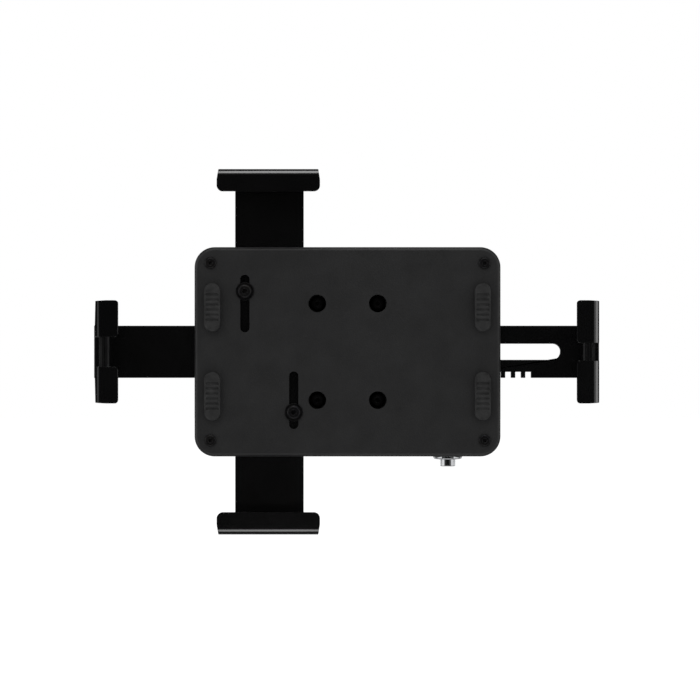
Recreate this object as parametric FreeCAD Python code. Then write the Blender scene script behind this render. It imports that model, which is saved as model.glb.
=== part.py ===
import FreeCAD, Part
import math
import os

# Tablet wall mount: a steel holder that turns on a wall plate. Its four hooked arms grip a tablet by its edges.
# Millimetres. The wall is the plane y = 0, the tablet faces -Y and +Z is up. The origin is the point on the
# wall where the turning axis starts. Depth is the distance from the wall, so a point at depth d has y = -d.
# Arms are drawn pointing along +X and then turned: "reach" runs along the arm and "across" over its width.

# The tablet held at rest, and how much the arms give and take
tablet_length = 240.0
tablet_height = 169.5
length_play = 0.1
height_play = 1.55
tablet_gap = 9.0
right_in = 40.0
right_out = 15.0
side_in = 18.0
side_out = 6.0

# Steel sheet of the arms, and the shape of their hooks
sheet = 2.0
bend_radius = 3.0
hook_width = 50.6
left_lean = 8.0
right_lean = 4.4
side_lean = 3.0
long_lip = 10.9
side_lip = 10.9
long_corner = 1.6
side_corner = 3.0
home_notch = 14.7
camera_notch = 8.6
long_strip = 26.0
side_strip = 34.0
wing_start = 12.0
wing_end = 4.2
wing_round = 3.0
lip_taper_run = 5.0
long_lip_taper = 0.3
side_lip_taper = 0.8
side_inset = 37.2

# Silicone liners inside the hooks
liner = 1.2
liner_ledge = 5.5
liner_inset = 0.9
liner_inner_radius = 0.4
glue = 0.05

# Wall plate with its drawn boss
plate_side = 100.0
plate_corner = 8.0
plate_sheet = 2.5
boss_depth = 13.5
boss_top_radius = 31.0
boss_base_radius = 44.0
boss_bend = 4.0
boss_rim = 1.0
wall_hole_spacing = 80.0
wall_hole_radius = 2.75

# Turning hub
bolt_radius = 3.0
bolt_head_radius = 6.0
bolt_head_height = 3.0
bolt_socket_flats = 4.0
bolt_socket_depth = 1.8
bush_wall = 1.5
bush_flange_radius = 11.0
bush_flange = 1.0
running_gap = 0.05
friction_washer_radius = 28.0
friction_washer_bore = 12.0
friction_washer_height = 1.0
steel_washer_radius = 9.0
steel_washer_height = 1.6
washer_gap = 0.2
disc_spring_radius = 7.0
disc_spring_sheet = 0.8
disc_spring_cone = 0.35
nut_across_flats = 10.0
nut_height = 4.2
nut_collar_radius = 4.2
nut_collar_height = 1.6
nut_bevel = 0.5
bolt_end_gap = 0.8
swivel_radius = 36.0
swivel_height = 3.5
swivel_edge = 0.8

# Holder box: back plate, moulded arm guide and pressed cover
box_width = 152.0
box_height = 104.0
box_corner = 10.0
cover_sheet = 1.5
cover_edge = 2.0
back_sheet = 2.0
arm_float = 0.25
guide_web = 1.2
guide_wall = 1.6
guide_rail = 2.0
guide_rib = 1.4
guide_rib_pitch = 22.0
guide_boss_wall = 2.4
fit_gap = 0.3
channel_gap = 0.2
window_gap = 0.4
bumper_height = 3.2
bumper_width = 8.0
bumper_length = 24.0
bumper_inset = 9.0
bumper_z = 22.0
bumper_edge = 0.8

# Screws: M4 joins the holder to the swivel plate, M3 closes the cover
button_head_round = 0.6
m4_radius = 2.0
m4_head_radius = 3.8
m4_head_height = 2.4
m4_socket_flats = 2.5
m4_socket_depth = 1.4
thread_end_gap = 0.3
holder_screw_x = 15.0
holder_screw_z = 24.0
access_radius = 4.4
thread_gap = 0.03
screw_gap = 0.25
m3_radius = 1.5
m3_head_radius = 2.9
m3_head_height = 1.4
m3_socket_flats = 2.0
m3_socket_depth = 1.0
cover_screw_inset = 8.0
flat_screw_radius = 2.0
flat_head_radius = 3.7
flat_head_height = 1.7
left_screw_insets = (7.0, 22.0)
left_end_inset = 30.0

# Centring rack and pinion for the side arms
gear_module = 1.0
pinion_teeth = 12
pressure_angle = 25.0
addendum = 0.9
dedendum = 1.25
backlash = 0.1
rack_margin = 4.5
rack_lead = 2.0
rack_end_gap = 1.6
tooth_root_overlap = 0.2
axle_radius = 2.0
axle_end_gap = 0.2
axle_collar_radius = 3.4

# Clamp screws of the side arms
clamp_inset = 22.0
clamp_washer_radius = 4.5
clamp_washer_height = 0.6
clamp_head_radius = 3.5
clamp_head_height = 1.9
clamp_slot_gap = 0.3

# Right arm: travel slot, stop and lock notches
right_end_gap = 5.4
arm_end_round = 3.0
stop_inset = 14.0
stop_radius = 3.8
stop_spigot_radius = 2.5
stop_gap = 0.2
stop_bevel = 0.4
lock_inset = 26.0
notch_pitch = 5.0
notch_width = 2.8
notch_depth = 3.0

# Push lock
lock_axis_depth = 19.3
lock_body_width = 18.0
lock_body_back = 12.3
lock_body_gap = 6.0
lock_roof = 2.0
lock_ear_width = 7.0
lock_ear_height = 10.0
lock_ear_sheet = 2.5
lock_ear_drop = 13.0
lock_front_gap = 0.2
lock_corner = 1.5
barrel_gap = 0.4
barrel_radius = 5.5
barrel_bore = 4.1
barrel_flange_radius = 7.25
barrel_flange_height = 1.5
barrel_flange_round = 0.6
plunger_radius = 4.0
plunger_proud = 3.6
plunger_collar_radius = 5.2
plunger_collar_height = 4.0
plunger_bevel = 0.4
nose_width = 2.2
nose_gap = 0.8
nose_side_gap = 0.2
core_radius = 2.7
core_length = 12.0
core_gap = 0.06
keyway_width = 1.2
keyway_height = 4.0
keyway_depth = 8.0
spring_length = 6.5
spring_wire = 0.8
spring_radius = 4.2
spring_turns = 3

# Depths of the stacked layers, worked out from the wall to the hook fronts
swivel_back = boss_depth + friction_washer_height
back_plate_back = swivel_back + swivel_height
back_plate_front = back_plate_back + back_sheet
fixed_level = back_plate_front
long_level = back_plate_front + arm_float
web_back = long_level + sheet + arm_float
web_front = web_back + guide_web
side_level = web_front + arm_float
cover_inside = side_level + sheet + arm_float
cover_front = cover_inside + cover_sheet
tablet_back = cover_front + bumper_height
hook_inside = tablet_back + tablet_gap + liner
hook_front = hook_inside + sheet

# Where the hooks stand at rest, and the lanes that the arms slide in
long_reach = tablet_length / 2 + length_play + liner + glue + sheet
side_reach = tablet_height / 2 + height_play + liner + glue + sheet
side_offset = side_inset - box_width / 2
left_end = left_end_inset - box_width / 2
right_end = side_offset + axle_collar_radius + right_end_gap + right_in
stop_x = box_width / 2 - stop_inset
clamp_reach = box_height / 2 - clamp_inset
long_lane = long_strip / 2 + channel_gap
side_lane = side_strip / 2 + channel_gap
pitch_radius = gear_module * pinion_teeth / 2
rack_root = pitch_radius + dedendum * gear_module
rack_tip = pitch_radius - addendum * gear_module
rack_start = side_out + rack_margin + rack_lead
side_wide_start = rack_start + 2 * side_in + rack_end_gap
clamp_across = (rack_root + side_strip / 2) / 2
boss_inside = boss_depth - plate_sheet
steel_washer_back = boss_inside - bush_flange - steel_washer_height
disc_spring_back = steel_washer_back - disc_spring_sheet - disc_spring_cone
inner_width = box_width - 2 * cover_sheet
inner_height = box_height - 2 * cover_sheet
inner_corner = box_corner - cover_sheet
four_corners = [(-1, -1), (-1, 1), (1, -1), (1, 1)]
holder_screw_places = [(i * holder_screw_x, k * holder_screw_z) for i, k in four_corners]
cover_screw_x = box_width / 2 - cover_screw_inset
cover_screw_z = box_height / 2 - cover_screw_inset
cover_screw_places = [(i * cover_screw_x, k * cover_screw_z) for i, k in four_corners]
left_screws = [inset - box_width / 2 for inset in left_screw_insets]
bumper_x = box_width / 2 - bumper_inset
lock_x = box_width / 2 - lock_inset
lock_screw_places = [lock_x + side * (lock_body_width + lock_ear_width) / 2 for side in (-1, 1)]
lock_body_top = -long_strip / 2 - lock_body_gap
lock_ear_z = lock_body_top - lock_ear_drop
collar_top = lock_body_top - lock_roof - spring_length
barrel_top = collar_top - plunger_collar_height
barrel_face = -box_height / 2 - barrel_flange_height
nose_tip = -long_strip / 2 - nose_gap

# The hooks: the level of the arm's back, the reach of the wall, and what differs from hook to hook
left_hook = {
    "level": fixed_level,
    "reach": long_reach,
    "lean": left_lean,
    "strip": long_strip,
    "lip": long_lip,
    "corner": long_corner,
    "taper": long_lip_taper,
    "notch": home_notch,
}
right_hook = {
    "level": long_level,
    "reach": long_reach,
    "lean": right_lean,
    "strip": long_strip,
    "lip": long_lip,
    "corner": long_corner,
    "taper": long_lip_taper,
    "notch": camera_notch,
}
side_hook = {
    "level": side_level,
    "reach": side_reach,
    "lean": side_lean,
    "strip": side_strip,
    "lip": side_lip,
    "corner": side_corner,
    "taper": side_lip_taper,
    "notch": 0.0,
}


def vec(x, depth, z):
    return FreeCAD.Vector(x, -depth, z)


def slab(x0, x1, z0, z1, near, far):
    """Box between two depths."""
    return Part.makeBox(x1 - x0, far - near, z1 - z0, vec(x0, far, z0))


def rod(x, z, radius, near, far):
    """Cylinder along the turning axis, between two depths."""
    return Part.makeCylinder(radius, far - near, vec(x, far, z), FreeCAD.Vector(0, 1, 0))


def upright(x, depth, radius, z0, z1):
    """Cylinder along +Z."""
    return Part.makeCylinder(radius, z1 - z0, vec(x, depth, z0), FreeCAD.Vector(0, 0, 1))


def cone(x, z, near_radius, far_radius, near, far):
    """Cone along the turning axis, with a radius at each depth."""
    return Part.makeCone(far_radius, near_radius, far - near, vec(x, far, z), FreeCAD.Vector(0, 1, 0))


def hexagon(x, z, across_flats, near, far):
    """Hexagonal prism between two depths."""
    corner = across_flats / 2 / math.cos(math.pi / 6)
    points = []
    for k in range(7):
        turn = math.radians(60 * k)
        points.append(vec(x + corner * math.cos(turn), far, z + corner * math.sin(turn)))
    face = Part.Face(Part.makePolygon(points))
    return face.extrude(FreeCAD.Vector(0, far - near, 0))


def runs_along(edge, axis):
    """True for a straight edge that runs along the axis given as 0, 1 or 2."""
    if len(edge.Vertexes) != 2:
        return False
    span = edge.Vertexes[1].Point - edge.Vertexes[0].Point
    across = [abs(span[k]) for k in range(3) if k != axis]
    return max(across) < 1e-6 < abs(span[axis])


def rounded_slab(width, height, corner, near, far, x=0.0, z=0.0):
    """Slab centred on x and z, with its four corners rounded."""
    block = slab(x - width / 2, x + width / 2, z - height / 2, z + height / 2, near, far)
    return block.makeFillet(corner, [e for e in block.Edges if runs_along(e, 1)])


def obround(x0, z0, x1, z1, radius, near, far):
    """Slot shape between two end centres."""
    shape = rod(x0, z0, radius, near, far).fuse(rod(x1, z1, radius, near, far))
    if abs(x1 - x0) > abs(z1 - z0):
        middle = slab(min(x0, x1), max(x0, x1), z0 - radius, z0 + radius, near, far)
    else:
        middle = slab(x0 - radius, x0 + radius, min(z0, z1), max(z0, z1), near, far)
    return shape.fuse(middle).removeSplitter()


def front_edges(shape, depth):
    """Edges that lie wholly at one depth."""
    found = []
    for edge in shape.Edges:
        box = edge.BoundBox
        if abs(box.YMin + depth) < 1e-6 and abs(box.YMax + depth) < 1e-6:
            found.append(edge)
    return found


def offset_path(points, distance):
    """Moves an open path of straight runs sideways, to its left."""
    lines = []
    for (x0, y0), (x1, y1) in zip(points, points[1:]):
        length = math.hypot(x1 - x0, y1 - y0)
        nx = -(y1 - y0) / length * distance
        ny = (x1 - x0) / length * distance
        lines.append(((x0 + nx, y0 + ny), (x1 + nx, y1 + ny)))
    moved = [lines[0][0]]
    for ((ax, ay), (bx, by)), ((cx, cy), (dx, dy)) in zip(lines, lines[1:]):
        cross = (bx - ax) * (dy - cy) - (by - ay) * (dx - cx)
        share = ((cx - ax) * (dy - cy) - (cy - ay) * (dx - cx)) / cross
        moved.append((ax + share * (bx - ax), ay + share * (by - ay)))
    moved.append(lines[-1][1])
    return moved


def rounded_path(points, radii, place):
    """Edges of an open path whose inner corners are arcs. place turns a 2D point into a 3D one."""
    edges = []
    start = points[0]
    for before, corner, after, radius in zip(points, points[1:], points[2:], radii):
        a = math.hypot(before[0] - corner[0], before[1] - corner[1])
        b = math.hypot(after[0] - corner[0], after[1] - corner[1])
        ux, uy = (before[0] - corner[0]) / a, (before[1] - corner[1]) / a
        wx, wy = (after[0] - corner[0]) / b, (after[1] - corner[1]) / b
        half = math.acos(ux * wx + uy * wy) / 2
        reach = radius / math.tan(half)
        bx, by = ux + wx, uy + wy
        long = math.hypot(bx, by)
        away = radius / math.sin(half) - radius
        first = (corner[0] + ux * reach, corner[1] + uy * reach)
        last = (corner[0] + wx * reach, corner[1] + wy * reach)
        middle = (corner[0] + bx / long * away, corner[1] + by / long * away)
        edges.append(Part.LineSegment(place(start), place(first)).toShape())
        edges.append(Part.Arc(place(first), place(middle), place(last)).toShape())
        start = last
    edges.append(Part.LineSegment(place(start), place(points[-1])).toShape())
    return edges


def bent_sheet(points, thickness, radii, place):
    """Face of a sheet seen end on. points are its outer side, and the sheet lies to their left."""
    inner = offset_path(points, thickness)
    inner_radii = []
    for before, corner, after, radius in zip(points, points[1:], points[2:], radii):
        cross = (corner[0] - before[0]) * (after[1] - corner[1])
        cross -= (corner[1] - before[1]) * (after[0] - corner[0])
        inner_radii.append(radius - thickness if cross > 0 else radius + thickness)
    edges = rounded_path(points, radii, place)
    edges += rounded_path(inner, inner_radii, place)
    edges.append(Part.LineSegment(place(points[0]), place(inner[0])).toShape())
    edges.append(Part.LineSegment(place(points[-1]), place(inner[-1])).toShape())
    return Part.Face(Part.Wire(Part.__sortEdges__(edges)))


def in_section(point):
    """Point of an arm's side view: reach and depth."""
    return vec(point[0], point[1], 0)


def turned(shape, degrees, x=0.0):
    """Turns a shape drawn along +X about the turning axis, and moves it sideways."""
    moved = shape.copy()
    moved.rotate(FreeCAD.Vector(0, 0, 0), FreeCAD.Vector(0, 1, 0), degrees)
    moved.translate(FreeCAD.Vector(x, 0, 0))
    return moved


def hook_path(hook, start, lip):
    """Outer side of an arm: back of the strip, leaning wall and lip."""
    level = hook["level"]
    reach = hook["reach"]
    lean = (hook_front - level) * math.tan(math.radians(hook["lean"]))
    return [(start, level), (reach + lean, level), (reach, hook_front), (reach - lip, hook_front)]


def outline_block(upper, radii, place, through):
    """Block through a sheet, with an outline that is the same on both sides of the arm's line."""
    edges = rounded_path(upper, radii, lambda p: place(p[0], p[1]))
    edges += rounded_path(upper, radii, lambda p: place(p[0], -p[1]))
    for along, half in (upper[0], upper[-1]):
        edges.append(Part.LineSegment(place(along, half), place(along, -half)).toShape())
    return Part.Face(Part.Wire(Part.__sortEdges__(edges))).extrude(through)


def wing_outline(hook, inset, x0, x1):
    """Block that trims a hook's wall from the strip's width out to the lip's width."""
    narrow = hook["strip"] / 2 - inset
    wide = hook_width / 2 - inset
    low = hook["level"] - 2 * bend_radius
    high = hook_front + 2 * bend_radius
    upper = [(low, narrow), (hook_front - wing_start, narrow), (hook_front - wing_end, wide), (high, wide)]
    through = FreeCAD.Vector(x1 - x0, 0, 0)
    return outline_block(upper, [wing_round, wing_round], lambda depth, across: vec(x0, depth, across), through)


def lip_outline(hook, inset, x0):
    """Block that narrows a hook a little from its lip to its bend."""
    wide = hook_width / 2 - inset
    near = hook["reach"] - lip_taper_run
    slope = hook["taper"] / lip_taper_run
    end = hook["reach"] + hook["lip"]
    upper = [(x0, wide), (near, wide), (end, wide - slope * (end - near))]
    back = hook["level"] - 2 * bend_radius
    through = FreeCAD.Vector(0, back - hook_front - 2 * bend_radius, 0)
    return outline_block(upper, [2 * wing_round], lambda x, across: vec(x, back, across), through)


def notch_block(hook, width):
    """Room of the notch through a hook's lip and bend, down to where the wall is straight."""
    near = hook_front - sheet - bend_radius
    reach = hook["reach"]
    return slab(reach - 2 * hook["lip"], reach + hook["lip"], -width / 2, width / 2, near, hook_front + 1)


def hooked_arm(hook, start):
    """One arm along +X: strip, wall and lip bent from a single sheet."""
    path = hook_path(hook, start, hook["lip"])
    face = bent_sheet(path, sheet, [bend_radius, bend_radius], in_section)
    face.translate(FreeCAD.Vector(0, 0, -hook_width / 2))
    arm = face.extrude(FreeCAD.Vector(0, 0, hook_width))
    arm = arm.common(wing_outline(hook, 0.0, start - 1, hook["reach"] + hook_width))
    arm = arm.common(lip_outline(hook, 0.0, start - 1))
    if hook["notch"]:
        arm = arm.cut(notch_block(hook, hook["notch"]))
    tip = []
    for edge in arm.Edges:
        if runs_along(edge, 1) and abs(edge.Vertexes[0].X - path[-1][0]) < 1e-4:
            tip.append(edge)
    return arm.makeFillet(hook["corner"], tip)


def hook_liner(hook):
    """Silicone lining of a hook: a ledge behind the tablet, a skin on the wall and one under the lip."""
    lip = hook["lip"] - liner_inset
    reach = hook["reach"]
    outer = offset_path(hook_path(hook, reach - lip, lip), sheet + glue)
    outer[0] = (outer[1][0] - liner_ledge, outer[0][1])
    inner = offset_path(outer, liner)
    outer_radius = bend_radius - sheet
    edges = rounded_path(outer, [outer_radius, outer_radius], in_section)
    edges += rounded_path(inner, [liner_inner_radius, liner_inner_radius], in_section)
    edges.append(Part.LineSegment(in_section(outer[0]), in_section(inner[0])).toShape())
    edges.append(Part.LineSegment(in_section(outer[-1]), in_section(inner[-1])).toShape())
    face = Part.Face(Part.Wire(Part.__sortEdges__(edges)))
    face.translate(FreeCAD.Vector(0, 0, -hook_width / 2))
    lining = face.extrude(FreeCAD.Vector(0, 0, hook_width))
    half = hook["strip"] / 2
    edge, ledge_back = outer[0]
    (foot_x, foot_depth), (head_x, head_depth) = inner[1:3]
    wall = foot_x + (head_x - foot_x) * (tablet_back - foot_depth) / (head_depth - foot_depth)
    ledge = slab(edge, wall + liner / 2, -half, half, ledge_back + liner / 2, tablet_back)
    lining = lining.fuse(ledge).removeSplitter()
    lining = lining.common(wing_outline(hook, liner_inset, reach - 3 * hook["lip"], reach + hook["lip"]))
    lining = lining.common(lip_outline(hook, liner_inset, reach - 3 * hook["lip"]))
    if hook["notch"]:
        lining = lining.cut(notch_block(hook, hook["notch"] + liner_inset))
    return lining


def make_wall_plate():
    """Square steel plate with a drawn boss that carries the hub clear of the wall."""
    def in_turn(point):
        return vec(point[0], point[1], 0)

    bush_hole = bolt_radius + running_gap + bush_wall
    rim = boss_base_radius + boss_bend + boss_rim
    path = [
        (rim, plate_sheet),
        (boss_base_radius, plate_sheet),
        (boss_top_radius, boss_depth),
        (bush_hole, boss_depth),
    ]
    face = bent_sheet(path, plate_sheet, [boss_bend, boss_bend + plate_sheet], in_turn)
    boss = face.revolve(FreeCAD.Vector(0, 0, 0), FreeCAD.Vector(0, 1, 0), 360)
    plate = rounded_slab(plate_side, plate_side, plate_corner, 0, plate_sheet)
    plate = plate.cut(rod(0, 0, rim - boss_rim / 2, -1, plate_sheet + 1))
    plate = plate.fuse(boss).removeSplitter()
    for i, k in four_corners:
        x = i * wall_hole_spacing / 2
        z = k * wall_hole_spacing / 2
        plate = plate.cut(rod(x, z, wall_hole_radius, -1, plate_sheet + 1))
    return plate


def ring(outer, bore, near, far):
    """Flat ring about the turning axis."""
    return rod(0, 0, outer, near, far).cut(rod(0, 0, bore, near - 1, far + 1))


def make_friction_washer():
    """Nylon ring between the boss and the swivel plate."""
    return ring(friction_washer_radius, friction_washer_bore, boss_depth, swivel_back)


def make_pivot_bush():
    """Nylon bush in the boss, with its flange against the boss's inner face."""
    flange_back = boss_inside - bush_flange
    bore = bolt_radius + running_gap
    sleeve = ring(bore + bush_wall, bore, flange_back, swivel_back - washer_gap)
    return sleeve.fuse(ring(bush_flange_radius, bore, flange_back, boss_inside)).removeSplitter()


def make_steel_washer():
    return ring(steel_washer_radius, bolt_radius + washer_gap, steel_washer_back, boss_inside - bush_flange)


def make_disc_spring():
    """Dished washer that keeps the hub pressed together."""
    bore = bolt_radius + washer_gap
    section = [
        vec(bore, disc_spring_back, 0),
        vec(bore, disc_spring_back + disc_spring_sheet, 0),
        vec(disc_spring_radius, steel_washer_back, 0),
        vec(disc_spring_radius, steel_washer_back - disc_spring_sheet, 0),
    ]
    face = Part.Face(Part.makePolygon(section + section[:1]))
    return face.revolve(FreeCAD.Vector(0, 0, 0), FreeCAD.Vector(0, 1, 0), 360)


def make_pivot_nut():
    """Lock nut with a round collar on its wall side."""
    hex_back = disc_spring_back - nut_height
    corner = nut_across_flats / 2 / math.cos(math.pi / 6)
    nut = hexagon(0, 0, nut_across_flats, hex_back, disc_spring_back)
    bevel = cone(0, 0, corner - nut_bevel, corner + nut_height - nut_bevel, hex_back, disc_spring_back)
    nut = nut.common(bevel).fuse(rod(0, 0, nut_collar_radius, hex_back - nut_collar_height, hex_back))
    return nut.cut(rod(0, 0, bolt_radius + thread_gap, 0, boss_depth)).removeSplitter()


def make_pivot_bolt():
    """Countersunk bolt, its head flush with the front of the swivel plate."""
    front = back_plate_back
    bolt = flat_screw(0, 0, bolt_radius, bolt_head_radius, bolt_head_height, front, bolt_end_gap)
    return bolt.cut(hexagon(0, 0, bolt_socket_flats, front - bolt_socket_depth, front + 1))


def make_swivel_plate():
    """Steel disc that the pivot bolt holds against the boss, tapped for the holder screws."""
    plate = rod(0, 0, swivel_radius, swivel_back, back_plate_back)
    plate = plate.makeFillet(swivel_edge, front_edges(plate, swivel_back))
    plate = plate.cut(flat_screw(0, 0, bolt_radius + running_gap, bolt_head_radius + running_gap,
                                 bolt_head_height, back_plate_back, 0))
    for x, z in holder_screw_places:
        plate = plate.cut(rod(x, z, m4_radius + thread_gap, swivel_back - 1, back_plate_back + 1))
    return plate


def flat_screw(x, z, radius, head_radius, head_height, front, end):
    """Countersunk screw without its socket, also used to cut its seat."""
    head = cone(x, z, radius, head_radius, front - head_height, front)
    return head.fuse(rod(x, z, radius, end, front - head_height)).removeSplitter()


def round_screw(x, z, radius, head_radius, head_height, flats, socket, seat, end):
    """Button-headed screw driven from the front, its head on the seat."""
    head = rod(x, z, head_radius, seat, seat + head_height)
    head = head.makeFillet(head_height * button_head_round, front_edges(head, seat + head_height))
    screw = head.fuse(rod(x, z, radius, end, seat))
    return screw.cut(hexagon(x, z, flats, seat + head_height - socket, seat + head_height + 1))


def make_holder_screws():
    screws = []
    for x, z in holder_screw_places:
        screws.append(round_screw(x, z, m4_radius, m4_head_radius, m4_head_height, m4_socket_flats,
                                  m4_socket_depth, back_plate_front, swivel_back + thread_end_gap))
    return Part.makeCompound(screws)


def make_cover_screws():
    screws = []
    for x, z in cover_screw_places:
        screws.append(round_screw(x, z, m3_radius, m3_head_radius, m3_head_height, m3_socket_flats,
                                  m3_socket_depth, cover_front, back_plate_back + thread_end_gap))
    return Part.makeCompound(screws)


def lock_space(gap, near, far):
    """Room for the lock body, with a gap around it."""
    half = lock_body_width / 2 + gap
    return slab(lock_x - half, lock_x + half, -box_height, lock_body_top + gap, near, far)


def make_back_plate():
    """Flat plate inside the cover's rim, screwed to the swivel plate."""
    plate = rounded_slab(inner_width - 2 * fit_gap, inner_height - 2 * fit_gap, inner_corner - fit_gap,
                         back_plate_back, back_plate_front)
    holes = [rod(0, 0, bolt_head_radius + screw_gap, back_plate_back - 1, back_plate_front + 1)]
    for x, z in holder_screw_places:
        holes.append(rod(x, z, m4_radius + screw_gap, back_plate_back - 1, back_plate_front + 1))
    for x, z in cover_screw_places:
        holes.append(rod(x, z, m3_radius + thread_gap, back_plate_back - 1, back_plate_front + 1))
    for x in left_screws:
        holes.append(rod(x, 0, flat_screw_radius + thread_gap, back_plate_back - 1, back_plate_front + 1))
    for x in lock_screw_places:
        holes.append(rod(x, lock_ear_z, m3_radius + thread_gap, back_plate_back - 1, back_plate_front + 1))
    holes.append(rod(side_offset, 0, axle_radius + thread_gap, back_plate_back - 1, back_plate_front + 1))
    holes.append(rod(stop_x, 0, stop_spigot_radius + thread_gap, back_plate_back - 1, back_plate_front + 1))
    holes.append(lock_space(fit_gap, back_plate_back - 1, back_plate_front + 1))
    for hole in holes:
        plate = plate.cut(hole)
    return plate


def make_arm_guide():
    """Moulding with a channel for the long arms behind its web and one for the side arms in front of it."""
    front = cover_inside - channel_gap / 2
    width = inner_width - 2 * fit_gap
    height = inner_height - 2 * fit_gap
    corner = inner_corner - fit_gap
    guide = rounded_slab(width, height, corner, back_plate_front, front)
    core = rounded_slab(width - 2 * guide_wall, height - 2 * guide_wall, corner - guide_wall,
                        back_plate_front - 1, front + 1)
    guide = guide.cut(core)
    web = rounded_slab(width, height, corner, web_back, web_front)
    keep = []
    for side in (-1, 1):
        wall = sorted((side * long_lane, side * (long_lane + guide_rail)))
        keep.append(slab(-width / 2, width / 2, wall[0], wall[1], back_plate_front, web_back))
        wall = sorted((side_offset + side * side_lane, side_offset + side * (side_lane + guide_rail)))
        keep.append(slab(wall[0], wall[1], -height / 2, height / 2, web_front, front))
    ribs = int(height / 2 / guide_rib_pitch) + 1
    for k in range(-ribs, ribs + 1):
        z = k * guide_rib_pitch
        right = side_offset + side_lane + guide_rail / 2
        if abs(z) < height / 2 - guide_wall:
            keep.append(slab(right, width / 2, z - guide_rib / 2, z + guide_rib / 2, web_front, front))
    ribs = int(width / 2 / guide_rib_pitch) + 1
    for k in range(-ribs, ribs + 1):
        x = k * guide_rib_pitch
        if abs(x) < width / 2 - guide_wall:
            for side in (-1, 1):
                run = sorted((side * (long_lane + guide_rail / 2), side * height / 2))
                rib = slab(x - guide_rib / 2, x + guide_rib / 2, run[0], run[1], back_plate_front, web_back)
                keep.append(rib)
    for x, z in cover_screw_places:
        keep.append(rod(x, z, m3_radius + guide_boss_wall, back_plate_front, front))
    block = rounded_slab(width, height, corner, back_plate_front, front)
    solid = web
    for piece in keep:
        solid = solid.fuse(piece.common(block))
    guide = guide.fuse(solid).removeSplitter()
    guide = guide.cut(slab(-width, width, -long_lane, long_lane, back_plate_front - 1, web_back))
    lane = slab(side_offset - side_lane, side_offset + side_lane, -height, height, web_front, front + 1)
    guide = guide.cut(lane)
    holes = [lock_space(fit_gap, back_plate_front - 1, front + 1)]
    for x, z in holder_screw_places:
        holes.append(rod(x, z, access_radius, back_plate_front - 1, front + 1))
    for x, z in cover_screw_places:
        holes.append(rod(x, z, m3_radius + screw_gap, back_plate_front - 1, front + 1))
    holes.append(rod(side_offset, 0, axle_radius + screw_gap, web_back - 1, web_front + 1))
    half = nose_width / 2 + nose_side_gap
    near = back_plate_front - 1
    holes.append(slab(lock_x - half, lock_x + half, lock_body_top, -long_lane + 1, near, web_back))
    for hole in holes:
        guide = guide.cut(hole)
    return guide


def make_front_cover():
    """Pressed tray that closes the holder box, open at its rim for the arms and the lock."""
    cover = rounded_slab(box_width, box_height, box_corner, back_plate_back, cover_front)
    cover = cover.makeFillet(cover_edge, front_edges(cover, cover_front))
    inside = rounded_slab(inner_width, inner_height, inner_corner, back_plate_back - 1, cover_inside)
    inside = inside.makeFillet(cover_edge - cover_sheet, front_edges(inside, cover_inside))
    cover = cover.cut(inside)
    openings = []
    half = long_strip / 2 + window_gap
    long_top = long_level + sheet + window_gap
    for run in ((-box_width, 0), (0, box_width)):
        openings.append(slab(run[0], run[1], -half, half, back_plate_back - 1, long_top))
    half = side_strip / 2 + window_gap
    openings.append(slab(side_offset - half, side_offset + half, -box_height, box_height,
                         back_plate_back - 1, cover_inside))
    for x, z in holder_screw_places:
        openings.append(rod(x, z, access_radius, cover_inside - 1, cover_front + 1))
    for x, z in cover_screw_places:
        openings.append(rod(x, z, m3_radius + screw_gap, cover_inside - 1, cover_front + 1))
    slot = m4_radius + clamp_slot_gap
    for side in (-1, 1):
        x = side_offset - side * clamp_across
        inner = side * (clamp_reach - side_in)
        outer = side * (clamp_reach + side_out)
        openings.append(obround(x, inner, x, outer, slot, cover_inside - 1, cover_front + 1))
    hole = barrel_radius + barrel_gap
    openings.append(upright(lock_x, lock_axis_depth, hole, -box_height, -box_height / 2 + cover_sheet + 1))
    openings.append(slab(lock_x - hole, lock_x + hole, -box_height, -box_height / 2 + cover_sheet + 1,
                         back_plate_back - 1, lock_axis_depth))
    for opening in openings:
        cover = cover.cut(opening)
    return cover


def make_bumper(x, z):
    """Rubber pad on the cover's front, which the tablet's back rests on."""
    pad = rounded_slab(bumper_width, bumper_length, bumper_width / 2 - 0.01, cover_front, tablet_back, x, z)
    return pad.makeFillet(bumper_edge, front_edges(pad, tablet_back))


def make_left_arm():
    """Fixed arm with the wide notch for the tablet's button, screwed flat to the back plate."""
    arm = hooked_arm(left_hook, -left_end)
    for x in left_screws:
        seat = flat_screw(-x, 0, flat_screw_radius + screw_gap, flat_head_radius + screw_gap,
                          flat_head_height, fixed_level + sheet, fixed_level - 1)
        arm = arm.cut(seat)
    return turned(arm, 180)


def make_left_arm_screws():
    screws = []
    top = fixed_level + sheet
    for x in left_screws:
        screw = flat_screw(x, 0, flat_screw_radius, flat_head_radius, flat_head_height, top,
                           back_plate_back + thread_end_gap)
        screws.append(screw.cut(hexagon(x, 0, m4_socket_flats, top - m4_socket_depth, top + 1)))
    return Part.makeCompound(screws)


def make_right_arm():
    """Sliding arm with the narrow notch, a stop slot and a row of lock notches along its lower edge."""
    arm = hooked_arm(right_hook, right_end)
    ends = []
    for edge in arm.Edges:
        if runs_along(edge, 1) and abs(edge.Vertexes[0].X - right_end) < 1e-4:
            ends.append(edge)
    arm = arm.makeFillet(arm_end_round, ends)
    near = long_level - 1
    far = long_level + sheet + 1
    slot = obround(stop_x - right_out, 0, stop_x + right_in, 0, stop_radius + stop_gap, near, far)
    arm = arm.cut(slot)
    first = -int(right_out / notch_pitch + 0.01)
    last = int(right_in / notch_pitch + 0.01)
    for k in range(first, last + 1):
        x = lock_x + k * notch_pitch
        arm = arm.cut(slab(x - notch_width / 2, x + notch_width / 2, -long_strip,
                           -long_strip / 2 + notch_depth, near, far))
    return arm


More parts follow.
